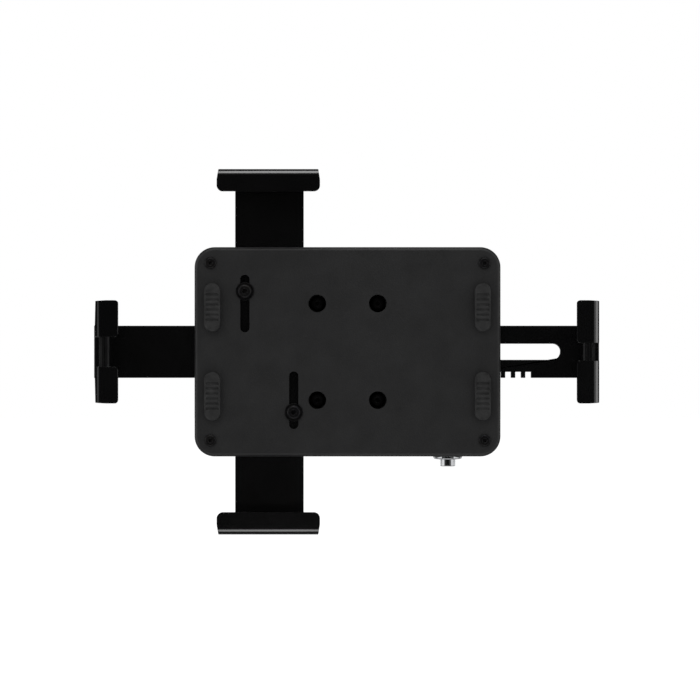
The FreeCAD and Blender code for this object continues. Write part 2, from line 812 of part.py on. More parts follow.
def make_stop_pin():
    """Pin riveted in the back plate that ends the right arm's travel."""
    pin = rod(stop_x, 0, stop_radius, back_plate_front, web_back - channel_gap / 2)
    pin = pin.makeChamfer(stop_bevel, front_edges(pin, web_back - channel_gap / 2))
    return pin.fuse(rod(stop_x, 0, stop_spigot_radius, back_plate_back, back_plate_front))


def rack_teeth(near, far):
    """Rack teeth along the reach, pointing to the pinion, for a pinion centred on the arm's line."""
    pitch = math.pi * gear_module
    slope = math.tan(math.radians(pressure_angle))
    middle = (pitch / 2 - backlash) / 2
    tip_half = middle - addendum * gear_module * slope
    root_half = middle + dedendum * gear_module * slope
    first = math.ceil((-rack_start + root_half) / pitch - 0.5)
    last = math.floor((side_in + rack_margin) / pitch - 0.5)
    teeth = []
    for k in range(first, last + 1):
        centre = (k + 0.5) * pitch
        points = [
            vec(centre - root_half, far, rack_root + tooth_root_overlap),
            vec(centre - root_half, far, rack_root),
            vec(centre - tip_half, far, rack_tip),
            vec(centre + tip_half, far, rack_tip),
            vec(centre + root_half, far, rack_root),
            vec(centre + root_half, far, rack_root + tooth_root_overlap),
        ]
        face = Part.Face(Part.makePolygon(points + points[:1]))
        teeth.append(face.extrude(FreeCAD.Vector(0, far - near, 0)))
    return teeth


def make_side_arm(degrees):
    """Arm of the height clamp. The upper and the lower one are the same part, turned half round."""
    near = side_level
    far = side_level + sheet
    arm = hooked_arm(side_hook, -rack_start)
    arm = arm.cut(slab(-rack_start - 1, side_wide_start, -side_strip, rack_root, near - 1, far + 1))
    for tooth in rack_teeth(near, far):
        arm = arm.fuse(tooth)
    arm = arm.removeSplitter()
    arm = arm.cut(rod(clamp_reach, clamp_across, m4_radius + thread_gap, near - 1, far + 1))
    return turned(arm, degrees, side_offset)


def make_side_liner(degrees):
    return turned(hook_liner(side_hook), degrees, side_offset)


def make_clamp_screw(side):
    """Low-headed screw that pinches a side arm against the cover."""
    x = side_offset - side * clamp_across
    return round_screw(x, side * clamp_reach, m4_radius, clamp_head_radius, clamp_head_height,
                       m4_socket_flats, m4_socket_depth, cover_front + clamp_washer_height, side_level)


def make_clamp_washer(side):
    x = side_offset - side * clamp_across
    z = side * clamp_reach
    top = cover_front + clamp_washer_height
    washer = rod(x, z, clamp_washer_radius, cover_front, top)
    return washer.cut(rod(x, z, m4_radius + screw_gap, cover_front - 1, top + 1))


def involute_point(base, roll, start):
    """Point of an involute of the base circle, after rolling by an angle, turned by start."""
    angle = start + roll - math.atan(roll)
    radius = base * math.sqrt(1 + roll * roll)
    return radius * math.cos(angle), radius * math.sin(angle)


def make_pinion():
    """Spur pinion between the two racks, with a tooth on the line across each of them."""
    near = side_level
    far = side_level + sheet
    base = pitch_radius * math.cos(math.radians(pressure_angle))
    tip = pitch_radius + addendum * gear_module
    root = pitch_radius - dedendum * gear_module
    pitch_roll = math.tan(math.radians(pressure_angle))
    tip_roll = math.sqrt((tip / base) ** 2 - 1)
    half_tooth = (math.pi * gear_module / 2 - backlash) / 2 / pitch_radius
    start = -half_tooth - (pitch_roll - math.atan(pitch_roll))
    gear = rod(0, 0, root, near, far)
    rolls = [tip_roll * k / 3 for k in range(4)]
    flank = [involute_point(base, roll, start) for roll in rolls]
    inner = root - tooth_root_overlap
    foot = (inner * math.cos(start), inner * math.sin(start))
    lower = [vec(x, far, z) for x, z in flank]
    upper = [vec(x, far, -z) for x, z in flank]
    curves = [Part.BSplineCurve(), Part.BSplineCurve()]
    curves[0].interpolate(lower)
    curves[1].interpolate(upper)
    edges = [curve.toShape() for curve in curves]
    edges.append(Part.Arc(lower[-1], vec(tip, far, 0), upper[-1]).toShape())
    feet = [vec(foot[0], far, foot[1]), vec(foot[0], far, -foot[1])]
    edges.append(Part.LineSegment(lower[0], feet[0]).toShape())
    edges.append(Part.LineSegment(upper[0], feet[1]).toShape())
    edges.append(Part.LineSegment(feet[0], feet[1]).toShape())
    face = Part.Face(Part.Wire(Part.__sortEdges__(edges)))
    tooth = face.extrude(FreeCAD.Vector(0, far - near, 0))
    for k in range(pinion_teeth):
        gear = gear.fuse(turned(tooth, 360.0 * k / pinion_teeth))
    gear = gear.cut(rod(0, 0, axle_radius + running_gap, near - 1, far + 1)).removeSplitter()
    gear.translate(FreeCAD.Vector(side_offset, 0, 0))
    return gear


def make_pinion_axle():
    """Pin in the back plate that carries the pinion, with a collar that bears on the web."""
    axle = rod(side_offset, 0, axle_radius, back_plate_back, cover_inside - axle_end_gap)
    return axle.fuse(rod(side_offset, 0, axle_collar_radius, back_plate_front, web_back)).removeSplitter()


def make_lock_housing():
    """Cast body in an opening of the back plate, with an ear on each side for its screws."""
    half = lock_body_width / 2
    front = cover_inside - lock_front_gap
    inner_end = -box_height / 2 + cover_sheet + fit_gap
    body = slab(lock_x - half, lock_x + half, -box_height / 2, lock_body_top, lock_body_back, front)
    corners = [e for e in body.Edges if runs_along(e, 2)]
    corners = [e for e in corners if abs(e.Vertexes[0].Y + lock_body_back) < 1e-6]
    body = body.makeFillet(lock_corner, corners)
    step_back = back_plate_back - fit_gap
    step = slab(lock_x - half - 1, lock_x + half + 1, -box_height, inner_end, step_back, front + 1)
    body = body.cut(step)
    ear = half + lock_ear_width
    ear_low = lock_ear_z - lock_ear_height / 2
    ears = slab(lock_x - ear, lock_x + ear, ear_low, ear_low + lock_ear_height,
                back_plate_back - lock_ear_sheet, back_plate_back)
    ears = ears.makeFillet(lock_corner, [e for e in ears.Edges if runs_along(e, 1)])
    body = body.fuse(ears).removeSplitter()
    for x in lock_screw_places:
        body = body.cut(rod(x, lock_ear_z, m3_radius + screw_gap, lock_body_back, back_plate_back + 1))
    bore = barrel_radius + running_gap
    body = body.cut(upright(lock_x, lock_axis_depth, bore, -box_height, lock_body_top - lock_roof))
    nose = nose_width / 2 + nose_side_gap
    slot = slab(lock_x - nose, lock_x + nose, lock_body_top - lock_roof - 1, lock_body_top + 1,
                back_plate_front, web_back)
    return body.cut(slot)


def make_lock_screws():
    screws = []
    seat = back_plate_back - lock_ear_sheet
    for x in lock_screw_places:
        screw = rod(x, lock_ear_z, m3_head_radius, seat - m3_head_height, seat)
        screw = screw.makeFillet(m3_head_height * button_head_round, front_edges(screw, seat - m3_head_height))
        screw = screw.fuse(rod(x, lock_ear_z, m3_radius, seat, back_plate_front - thread_end_gap))
        socket_end = seat - m3_head_height + m3_socket_depth
        screws.append(screw.cut(hexagon(x, lock_ear_z, m3_socket_flats, 0, socket_end)))
    return Part.makeCompound(screws)


def make_lock_barrel():
    """Plated sleeve that guides the plunger, with its flange outside the box."""
    flange_end = -box_height / 2
    barrel = upright(lock_x, lock_axis_depth, barrel_radius, flange_end, barrel_top)
    flange = upright(lock_x, lock_axis_depth, barrel_flange_radius, barrel_face, flange_end)
    rim = [e for e in flange.Edges if abs(e.BoundBox.ZMax - barrel_face) < 1e-6]
    flange = flange.makeFillet(barrel_flange_round, rim)
    bore = upright(lock_x, lock_axis_depth, barrel_bore, -box_height, 0)
    return barrel.fuse(flange).cut(bore).removeSplitter()


def make_lock_plunger():
    """Push button with a collar inside the barrel's end and a blade that enters an arm notch."""
    face = barrel_face - plunger_proud
    button = upright(lock_x, lock_axis_depth, plunger_radius, face, barrel_top)
    rim = [e for e in button.Edges if abs(e.BoundBox.ZMax - face) < 1e-6]
    button = button.makeFillet(plunger_bevel, rim)
    collar = upright(lock_x, lock_axis_depth, plunger_collar_radius, barrel_top, collar_top)
    blade = slab(lock_x - nose_width / 2, lock_x + nose_width / 2, collar_top - 1, nose_tip,
                 long_level + channel_gap / 2, long_level + sheet - channel_gap / 2)
    plunger = button.fuse(collar).fuse(blade).removeSplitter()
    hole = upright(lock_x, lock_axis_depth, core_radius + core_gap, face - 1, face + core_length)
    return plunger.cut(hole)


def make_lock_core():
    """Key core in the plunger's face."""
    face = barrel_face - plunger_proud
    core = upright(lock_x, lock_axis_depth, core_radius, face, face + core_length)
    half = keyway_width / 2
    keyway = Part.makeBox(keyway_width, keyway_height, keyway_depth,
                          vec(lock_x - half, lock_axis_depth + keyway_height / 2, face))
    return core.cut(keyway)


def make_lock_spring():
    """Coil spring between the plunger's collar and the roof of the lock body."""
    bottom = collar_top + spring_wire / 2
    top = lock_body_top - lock_roof - spring_wire / 2
    pitch = (top - bottom) / spring_turns
    path = Part.makeHelix(pitch, top - bottom, spring_radius)
    path.translate(vec(lock_x, lock_axis_depth, bottom))
    start = vec(lock_x + spring_radius, lock_axis_depth, bottom)
    circle = Part.makeCircle(spring_wire / 2, start, FreeCAD.Vector(0, 1, 0))
    return Part.Wire(path).makePipeShell([Part.Wire(circle)], True, True)


def make_parts():
    """Every piece by its node name."""
    parts = {
        "wall_plate": make_wall_plate(),
        "friction_washer": make_friction_washer(),
        "pivot_bush": make_pivot_bush(),
        "steel_washer": make_steel_washer(),
        "disc_spring": make_disc_spring(),
        "pivot_nut": make_pivot_nut(),
        "pivot_bolt": make_pivot_bolt(),
        "swivel_plate": make_swivel_plate(),
        "holder_screws": make_holder_screws(),
        "back_plate": make_back_plate(),
        "arm_guide": make_arm_guide(),
        "front_cover": make_front_cover(),
        "cover_screws": make_cover_screws(),
        "left_arm": make_left_arm(),
        "left_arm_screws": make_left_arm_screws(),
        "left_liner": turned(hook_liner(left_hook), 180),
        "right_arm": make_right_arm(),
        "right_liner": hook_liner(right_hook),
        "stop_pin": make_stop_pin(),
        "top_arm": make_side_arm(-90),
        "top_liner": make_side_liner(-90),
        "bottom_arm": make_side_arm(90),
        "bottom_liner": make_side_liner(90),
        "pinion": make_pinion(),
        "pinion_axle": make_pinion_axle(),
        "top_clamp_screw": make_clamp_screw(1),
        "top_clamp_washer": make_clamp_washer(1),
        "bottom_clamp_screw": make_clamp_screw(-1),
        "bottom_clamp_washer": make_clamp_washer(-1),
        "lock_housing": make_lock_housing(),
        "lock_screws": make_lock_screws(),
        "lock_barrel": make_lock_barrel(),
        "lock_plunger": make_lock_plunger(),
        "lock_core": make_lock_core(),
        "lock_spring": make_lock_spring(),
    }
    for row, z in (("upper", bumper_z), ("lower", -bumper_z)):
        for column, x in (("left", -bumper_x), ("right", bumper_x)):
            parts[row + "_" + column + "_bumper"] = make_bumper(x, z)
    return parts


os.makedirs("parts", exist_ok=True)
for name, shape in make_parts().items():
    shape.exportStep("parts/" + name + ".step")
    print(name, len(shape.Solids), shape.isValid(), round(shape.Volume, 1))
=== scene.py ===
import math

import bpy
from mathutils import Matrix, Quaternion, Vector


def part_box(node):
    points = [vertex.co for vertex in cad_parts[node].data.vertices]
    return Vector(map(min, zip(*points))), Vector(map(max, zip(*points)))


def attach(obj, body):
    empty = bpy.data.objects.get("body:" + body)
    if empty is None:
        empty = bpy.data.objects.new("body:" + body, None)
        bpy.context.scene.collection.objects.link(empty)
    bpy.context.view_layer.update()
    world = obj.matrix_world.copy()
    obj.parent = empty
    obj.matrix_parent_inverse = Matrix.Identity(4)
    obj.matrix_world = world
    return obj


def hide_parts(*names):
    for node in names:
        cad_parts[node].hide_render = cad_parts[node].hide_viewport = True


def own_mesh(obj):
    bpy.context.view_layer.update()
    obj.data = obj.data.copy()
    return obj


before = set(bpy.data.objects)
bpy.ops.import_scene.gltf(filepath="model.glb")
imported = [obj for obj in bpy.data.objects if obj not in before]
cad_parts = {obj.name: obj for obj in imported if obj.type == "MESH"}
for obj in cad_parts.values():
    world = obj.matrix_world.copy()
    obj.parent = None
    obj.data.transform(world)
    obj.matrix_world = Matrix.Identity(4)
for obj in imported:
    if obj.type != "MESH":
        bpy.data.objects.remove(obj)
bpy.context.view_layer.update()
mm = 0.001
past = 0.1  # millimetres by which a cutter or a joined shank runs past the face that it meets
print("frame loaded:", len(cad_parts), "nodes")

lampGroups = {
    # the strong boxes draw the highlights on the arms' bends, and the rest of the mount is lit more softly
    "arms": bpy.data.collections.new("arms"),
    "others": bpy.data.collections.new("others"),
}


# Selection and mesh helpers

tolerances = {
    # distances in millimetres, and the last in degrees
    "merge": 0.0005,
    "mergeSwept": 0.001,
    "mergeNode": 0.002,
    "cut": 0.0001,
    "flatWithin": 0.5,
}
rounding = {
    # segments of a rounded edge, the least bend in degrees that is rounded and the least that shades sharp
    "sheet": (3, 40, 40),
    "small": (2, 40, 40),
    "turned": (2, 35, 50),
    "bumper": (3, 40, 40),
    "liner": (2, 35, 40),
}


def dropSelection():
    bpy.ops.object.select_all(action="DESELECT")


def makeActive(obj):
    dropSelection()
    obj.select_set(True)
    bpy.context.view_layer.objects.active = obj


def applyModifier(obj, kind, **values):
    makeActive(obj)
    modifier = obj.modifiers.new(kind.lower(), kind)
    for key, value in values.items():
        setattr(modifier, key, value)
    bpy.ops.object.modifier_apply(modifier=modifier.name)


def applyPlace(obj):
    makeActive(obj)
    bpy.ops.object.transform_apply(location=True, rotation=True, scale=True)


def smoothByAngle(obj, sharpFrom):
    makeActive(obj)
    bpy.ops.object.shade_smooth_by_angle(angle=math.radians(sharpFrom))


def evenNormals(obj, sharpFrom):
    # large flat faces keep their own normal, so that only the rounded edges catch light
    smoothByAngle(obj, sharpFrom)
    applyModifier(obj, "WEIGHTED_NORMAL", weight=100, keep_sharp=True)


def softenEdges(obj, radius, kind):
    segments, roundFrom, sharpFrom = rounding[kind]
    applyModifier(obj, "BEVEL", width=radius * mm, segments=segments, limit_method="ANGLE",
                  angle_limit=math.radians(roundFrom), use_clamp_overlap=True, miter_outer="MITER_ARC",
                  harden_normals=False)
    evenNormals(obj, sharpFrom)


def openEdit(obj, kind="FACE"):
    makeActive(obj)
    bpy.ops.object.mode_set(mode="EDIT")
    bpy.ops.mesh.select_mode(type=kind)


def closeEdit():
    bpy.ops.object.mode_set(mode="OBJECT")


def selectFaces(obj, wanted):
    # wanted(centre, normal) is asked for each face, and the object stays in edit mode
    openEdit(obj)
    bpy.ops.mesh.select_all(action="DESELECT")
    closeEdit()
    for face in obj.data.polygons:
        face.select = wanted(face.center, face.normal)
    bpy.ops.object.mode_set(mode="EDIT")


def renamed(obj, name):
    obj.name = name
    obj.data.name = name
    return obj


def turnNormalsOut(obj):
    openEdit(obj)
    bpy.ops.mesh.select_all(action="SELECT")
    bpy.ops.mesh.remove_doubles(threshold=tolerances["merge"] * mm)
    bpy.ops.mesh.normals_make_consistent(inside=False)
    closeEdit()


def combine(piece, other, operation):
    applyModifier(piece, "BOOLEAN", object=other, operation=operation, solver="EXACT")
    bpy.data.objects.remove(other, do_unlink=True)
    return piece


def nodeCorners(node):
    return [Vector(corner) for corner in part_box(node)]


def copyOfNode(nodeName, pieceName):
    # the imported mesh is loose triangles, so its doubles are merged and flat parts become whole faces
    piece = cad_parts[nodeName].copy()
    piece.data = piece.data.copy()
    renamed(piece, pieceName)
    for key in list(piece.keys()):
        if key.startswith("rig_"):
            del piece[key]
    piece.parent = None
    bpy.context.scene.collection.objects.link(piece)
    makeActive(piece)
    if piece.data.has_custom_normals:
        bpy.ops.mesh.customdata_custom_splitnormals_clear()
    bpy.ops.object.mode_set(mode="EDIT")
    bpy.ops.mesh.select_all(action="SELECT")
    bpy.ops.mesh.remove_doubles(threshold=tolerances["mergeNode"] * mm)
    bpy.ops.mesh.dissolve_limited(angle_limit=math.radians(tolerances["flatWithin"]))
    closeEdit()
    return piece


def placedCopy(master, name, place, tip, twist=0.0):
    # a copy with a mesh of its own, twisted about its axis, tipped about X and moved to its place
    piece = master.copy()
    piece.data = master.data.copy()
    renamed(piece, name)
    bpy.context.scene.collection.objects.link(piece)
    piece.rotation_mode = "QUATERNION"
    tipped = Quaternion((1, 0, 0), math.radians(tip))
    piece.rotation_quaternion = tipped @ Quaternion((0, 0, 1), math.radians(twist))
    piece.location = place
    applyPlace(piece)
    return piece


def placeOnly(master, name, place, tip, twist=0.0):
    # the master goes once its single copy stands in place
    piece = placedCopy(master, name, place, tip, twist)
    bpy.data.objects.remove(master, do_unlink=True)
    return piece


def paint(obj, material):
    obj.data.materials.clear()
    obj.data.materials.append(material)


def settle(obj, body, look, slot, *nodes):
    paint(obj, looks[look])
    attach(obj, body)
    if nodes:
        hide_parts(*nodes)
    lampGroups["arms" if slot == "arm_coat" else "others"].objects.link(obj)


# Materials

mixedOver = (0.3, 0.7)  # the part of a pattern's span over which its two colours or levels change


def newMaterial(name, colour, metallic, roughness):
    material = bpy.data.materials.new(name)
    material.use_nodes = True
    shader = material.node_tree.nodes["Principled BSDF"]
    shader.inputs["Base Color"].default_value = (*colour, 1)
    shader.inputs["Metallic"].default_value = metallic
    shader.inputs["Roughness"].default_value = roughness
    return material, shader


def addPattern(tree, kind, scale, detail=0.0, stretch=(1, 1, 1)):
    # cells or noise on the piece's own coordinates
    place = tree.nodes.new("ShaderNodeTexCoord")
    if kind == "cells":
        cells = tree.nodes.new("ShaderNodeTexVoronoi")
        cells.feature = "SMOOTH_F1"
        cells.inputs["Scale"].default_value = scale
        tree.links.new(place.outputs["Object"], cells.inputs["Vector"])
        return cells.outputs["Distance"]
    mapping = tree.nodes.new("ShaderNodeMapping")
    mapping.inputs["Scale"].default_value = stretch
    noise = tree.nodes.new("ShaderNodeTexNoise")
    noise.inputs["Scale"].default_value = scale
    noise.inputs["Detail"].default_value = detail
    tree.links.new(place.outputs["Object"], mapping.inputs["Vector"])
    tree.links.new(mapping.outputs["Vector"], noise.inputs["Vector"])
    return noise.outputs["Fac"]


def addRange(tree, value, source, target):
    ranges = tree.nodes.new("ShaderNodeMapRange")
    ranges.inputs["From Min"].default_value, ranges.inputs["From Max"].default_value = source
    ranges.inputs["To Min"].default_value, ranges.inputs["To Max"].default_value = target
    tree.links.new(value, ranges.inputs["Value"])
    return ranges


def addMath(tree, operation, first, second=None):
    node = tree.nodes.new("ShaderNodeMath")
    node.operation = operation
    tree.links.new(first, node.inputs[0])
    if second:
        tree.links.new(second, node.inputs[1])
    return node


def mixColours(tree, value, first, second):
    ramp = tree.nodes.new("ShaderNodeValToRGB")
    for element, position, colour in zip(ramp.color_ramp.elements, mixedOver, (first, second)):
        element.position = position
        element.color = (*colour, 1)
    tree.links.new(value, ramp.inputs["Fac"])
    return ramp.outputs["Color"]


def addBumps(tree, heights):
    # heights: (socket, depth in metres), each bump laid on the one before
    last = None
    for value, depth in heights:
        bump = tree.nodes.new("ShaderNodeBump")
        bump.inputs["Strength"].default_value = 1.0
        bump.inputs["Distance"].default_value = depth
        tree.links.new(value, bump.inputs["Height"])
        if last:
            tree.links.new(last, bump.inputs["Normal"])
        last = bump.outputs["Normal"]
    return last


def makeFinish(name, s, metallic=0.0):
    # one pattern mixes the two colours, one spreads the roughness, and bumps are pressed in by depths in mm
    colourBy, first, second = s["colours"]
    roughBy, low, high = s["roughness"]
    material, shader = newMaterial(name, first, metallic, low)
    tree = material.node_tree
    patterns = {key: addPattern(tree, *values) for key, values in s["patterns"].items()}
    colour = mixColours(tree, patterns[colourBy], first, second)
    roughness = addRange(tree, patterns[roughBy], mixedOver, (low, high))
    normal = addBumps(tree, [(patterns[key], depth * mm) for key, depth in s["bumps"].items()])
    tree.links.new(colour, shader.inputs["Base Color"])
    tree.links.new(roughness.outputs["Result"], shader.inputs["Roughness"])
    tree.links.new(normal, shader.inputs["Normal"])
    for socket, value in s.get("evenValues", {}).items():
        shader.inputs[socket].default_value = value
    return material


satinCoat = {
    # black satin paint of the arms, with a fine orange peel
    "patterns": {"peel": ("noise", 420, 2.0), "grain": ("noise", 2600, 2.0), "patches": ("noise", 60, 4.0)},
    "colours": ("patches", (0.0021, 0.0021, 0.0022), (0.0027, 0.0027, 0.0028)),
    "roughness": ("patches", 0.12, 0.15),
    "bumps": {"peel": 0.012, "grain": 0.003},
}
textureCoat = {
    # matt black powder of the box and the wall plate
    "patterns": {"crumbs": ("cells", 1500), "grain": ("noise", 3200, 3.0), "patches": ("noise", 90, 4.0)},
    "colours": ("patches", (0.0130, 0.0130, 0.0134), (0.0165, 0.0165, 0.0170)),
    "roughness": ("grain", 0.38, 0.48),
    "bumps": {"crumbs": 0.035, "grain": 0.010},
}
silicone = {
    "patterns": {"dust": ("noise", 240, 5.0), "skin": ("noise", 2400, 2.0)},
    "colours": ("dust", (0.0055, 0.0055, 0.0058), (0.0090, 0.0090, 0.0093)),
    "roughness": ("dust", 0.60, 0.74),
    "bumps": {"skin": 0.012},
    "evenValues": {"Specular IOR Level": 0.3, "Sheen Weight": 0.04, "Sheen Roughness": 0.5},
}
rubber = {
    "patterns": {"dust": ("noise", 310, 6.0), "skin": ("noise", 1900, 3.0)},
    "colours": ("dust", (0.0085, 0.0085, 0.0088), (0.020, 0.020, 0.020)),
    "roughness": ("skin", 0.68, 0.85),
    "bumps": {"skin": 0.02},
}
blackNylon = {
    "patterns": {"grain": ("cells", 1800), "flow": ("noise", 120, 3.0)},
    "colours": ("flow", (0.009, 0.009, 0.0095), (0.013, 0.013, 0.0135)),
    "roughness": ("flow", 0.42, 0.55),
    "bumps": {"grain": 0.02},
}
naturalNylon = {
    "patterns": {"flow": ("noise", 160, 3.0)},
    "colours": ("flow", (0.70, 0.67, 0.57), (0.76, 0.73, 0.65)),
    "roughness": ("flow", 0.38, 0.52),
    "bumps": {"flow": 0.01},
    "evenValues": {"Subsurface Weight": 0.15, "Subsurface Scale": 1.0 * mm},
}
castingPaint = {
    "patterns": {"skin": ("noise", 900, 4.0), "patches": ("noise", 110, 4.0)},
    "colours": ("patches", (0.010, 0.010, 0.0105), (0.015, 0.015, 0.0155)),
    "roughness": ("patches", 0.34, 0.46),
    "bumps": {"skin": 0.03},
}
metals = {
    # look: material, two colours, roughness, scale and stretch of the fine lines, and their depth in mm
    "zinc": ("zincPlate", (0.58, 0.60, 0.62), (0.66, 0.66, 0.64), (0.24, 0.36), 900, (1, 1, 1), 0.004),
    "turned": ("turnedSteel", (0.52, 0.52, 0.52), (0.60, 0.59, 0.57), (0.22, 0.34), 700, (0.15, 1, 1), 0.004),
    "spring": ("springSteel", (0.34, 0.34, 0.35), (0.42, 0.41, 0.39), (0.25, 0.38), 800, (1, 1, 1), 0.003),
    "blackOxide": ("blackOxide", (0.030, 0.030, 0.034), (0.045, 0.043, 0.042), (0.34, 0.46), 900,
                   (1, 1, 1), 0.005),
    "chrome": ("chromePlate", (0.72, 0.73, 0.75), (0.76, 0.77, 0.78), (0.06, 0.11), 500, (1, 1, 0.1), 0.0008),
    "nickel": ("nickelSilver", (0.56, 0.52, 0.44), (0.62, 0.58, 0.50), (0.22, 0.34), 900, (1, 1, 0.2), 0.004),
}
metalPattern = {"lineDetail": 4.0, "cloudScale": 130, "cloudDetail": 5.0}


def makeMetal(name, first, second, roughness, scale, stretch, depth):
    s = metalPattern
    return makeFinish(name, {
        "patterns": {
            "lines": ("noise", scale, s["lineDetail"], stretch),
            "cloud": ("noise", s["cloudScale"], s["cloudDetail"]),
        },
        "colours": ("cloud", first, second),
        "roughness": ("lines", *roughness),
        "bumps": {"lines": depth},
    }, metallic=1.0)


looks = {
    "arm": makeFinish("satinBlackCoat", satinCoat),
    "cover": makeFinish("texturedBlackCoat", textureCoat),
    "silicone": makeFinish("blackSilicone", silicone),
    "rubber": makeFinish("mattRubber", rubber),
    "blackNylon": makeFinish("mouldedNylon", blackNylon),
    "naturalNylon": makeFinish("naturalNylon", naturalNylon),
    "casting": makeFinish("paintedCasting", castingPaint),
}
for look, values in metals.items():
    looks[look] = makeMetal(*values)
print("materials made:", len(looks))


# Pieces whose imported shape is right: only their edges are rounded, as tumbled and coated parts are

sheetPieces = {
    # piece: node, body, look, slot, edge radius
    "leftHookArm": ("left_arm", "holder", "arm", "arm_coat", 0.22),
    "rightHookArm": ("right_arm", "right_arm", "arm", "arm_coat", 0.22),
    "topHookArm": ("top_arm", "top_arm", "arm", "arm_coat", 0.22),
    "bottomHookArm": ("bottom_arm", "bottom_arm", "arm", "arm_coat", 0.22),
    "boxCover": ("front_cover", "holder", "cover", "cover_coat", 0.18),
    "boxBack": ("back_plate", "holder", "cover", "plate_coat", 0.18),
    "wallDish": ("wall_plate", "wall_bracket", "cover", "plate_coat", 0.25),
    "swivelDisc": ("swivel_plate", "holder", "zinc", "zinc_steel", 0.12),
    "lockBody": ("lock_housing", "holder", "casting", "lock_casting", 0.25),
}
smallPieces = {
    # piece: node, body, look, slot, edge radius
    "frictionRing": ("friction_washer", "wall_bracket", "naturalNylon", "natural_nylon", 0.15),
    "hubBush": ("pivot_bush", "wall_bracket", "naturalNylon", "natural_nylon", 0.15),
    "steelWasher": ("steel_washer", "holder", "zinc", "zinc_steel", 0.18),
    "discSpring": ("disc_spring", "holder", "spring", "spring_steel", 0.12),
    "upperClampWasher": ("top_clamp_washer", "top_arm", "blackOxide", "black_screws", 0.12),
    "lowerClampWasher": ("bottom_clamp_washer", "bottom_arm", "blackOxide", "black_screws", 0.12),
    "travelStop": ("stop_pin", "holder", "zinc", "zinc_steel", 0.15),
    "gearAxle": ("pinion_axle", "holder", "zinc", "zinc_steel", 0.15),
    "centringGear": ("pinion", "pinion", "turned", "gear_steel", 0.08),
    "armGuide": ("arm_guide", "holder", "blackNylon", "black_nylon", 0.15),
    "lockSleeve": ("lock_barrel", "holder", "chrome", "lock_chrome", 0.15),
    "lockButton": ("lock_plunger", "lock_plunger", "chrome", "lock_chrome", 0.12),
}


def softenNodes(pieces, kind):
    for name, (node, body, look, slot, radius) in pieces.items():
        piece = copyOfNode(node, name)
        softenEdges(piece, radius, kind)
        settle(piece, body, look, slot, node)
    print(kind, "pieces with rounded edges:", len(pieces))


softenNodes(sheetPieces, "sheet")
softenNodes(smallPieces, "small")


# Turned and threaded pieces, each modelled about the Z axis, with sizes in mm, and then put in its place

ringVertices = 48
headShape = {"seatChamfer": 0.12, "roundedAt": (22.5, 45.0, 67.5, 90.0)}
socketShape = {
    # shares of the width across flats: the mouth's two radii, and the drill cone's height and radius
    "mouthFoot": 0.46,
    "mouthRim": 0.70,
    "coneHeight": 0.1,
    "coneRim": 0.44,
    # millimetres
    "cutAbove": 1.0,
    "mouthDepth": 0.25,
    "coneTip": 0.1,
    "coneLap": 0.02,
}
threadShape = {
    # shares of the pitch: depth, run below the cut, height of a flank, and height of the flat crest and root
    "depth": 0.6,
    "runIn": 1.5,
    "flank": 0.44,
    "flat": 0.06,
    # steps in a turn, millimetres round the lead's cutter, and the least bend in degrees that shades sharp
    "steps": 28,
    "clearance": 0.01,
    "sharpFrom": 32,
}


def turnedSolid(name, profile):
    # profile: (radius, height) from the lower flat end to the upper one, drawn out ring by ring
    radius, height = profile[0]
    dropSelection()
    bpy.ops.mesh.primitive_circle_add(vertices=ringVertices, radius=radius * mm, fill_type="NGON",
                                      location=(0, 0, height * mm))
    piece = renamed(bpy.context.object, name)
    applyPlace(piece)
    openEdit(piece)
    bpy.ops.mesh.select_all(action="SELECT")
    for nextRadius, nextHeight in profile[1:]:
        rise = (nextHeight - height) * mm
        bpy.ops.mesh.extrude_region_move(TRANSFORM_OT_translate={"value": (0, 0, rise)})
        share = nextRadius / radius
        bpy.ops.transform.resize(value=(share, share, 1), center_override=(0, 0, nextHeight * mm))
        radius, height = nextRadius, nextHeight
    closeEdit()
    turnNormalsOut(piece)
    return piece


def hexCorner(flats):
    return flats / 2 / math.cos(math.pi / 6)


def hexBar(flats, low, high):
    dropSelection()
    bpy.ops.mesh.primitive_cylinder_add(vertices=6, radius=hexCorner(flats) * mm, depth=(high - low) * mm,
                                        location=(0, 0, (low + high) / 2 * mm))
    bar = bpy.context.object
    applyPlace(bar)
    return bar


def sweepUp(obj, pitch, turns, steps):
    # the section is screwed up round the Z axis, and the pitch is in metres
    applyModifier(obj, "SCREW", axis="Z", angle=2 * math.pi, screw_offset=pitch, iterations=turns,
                  steps=steps, render_steps=steps)


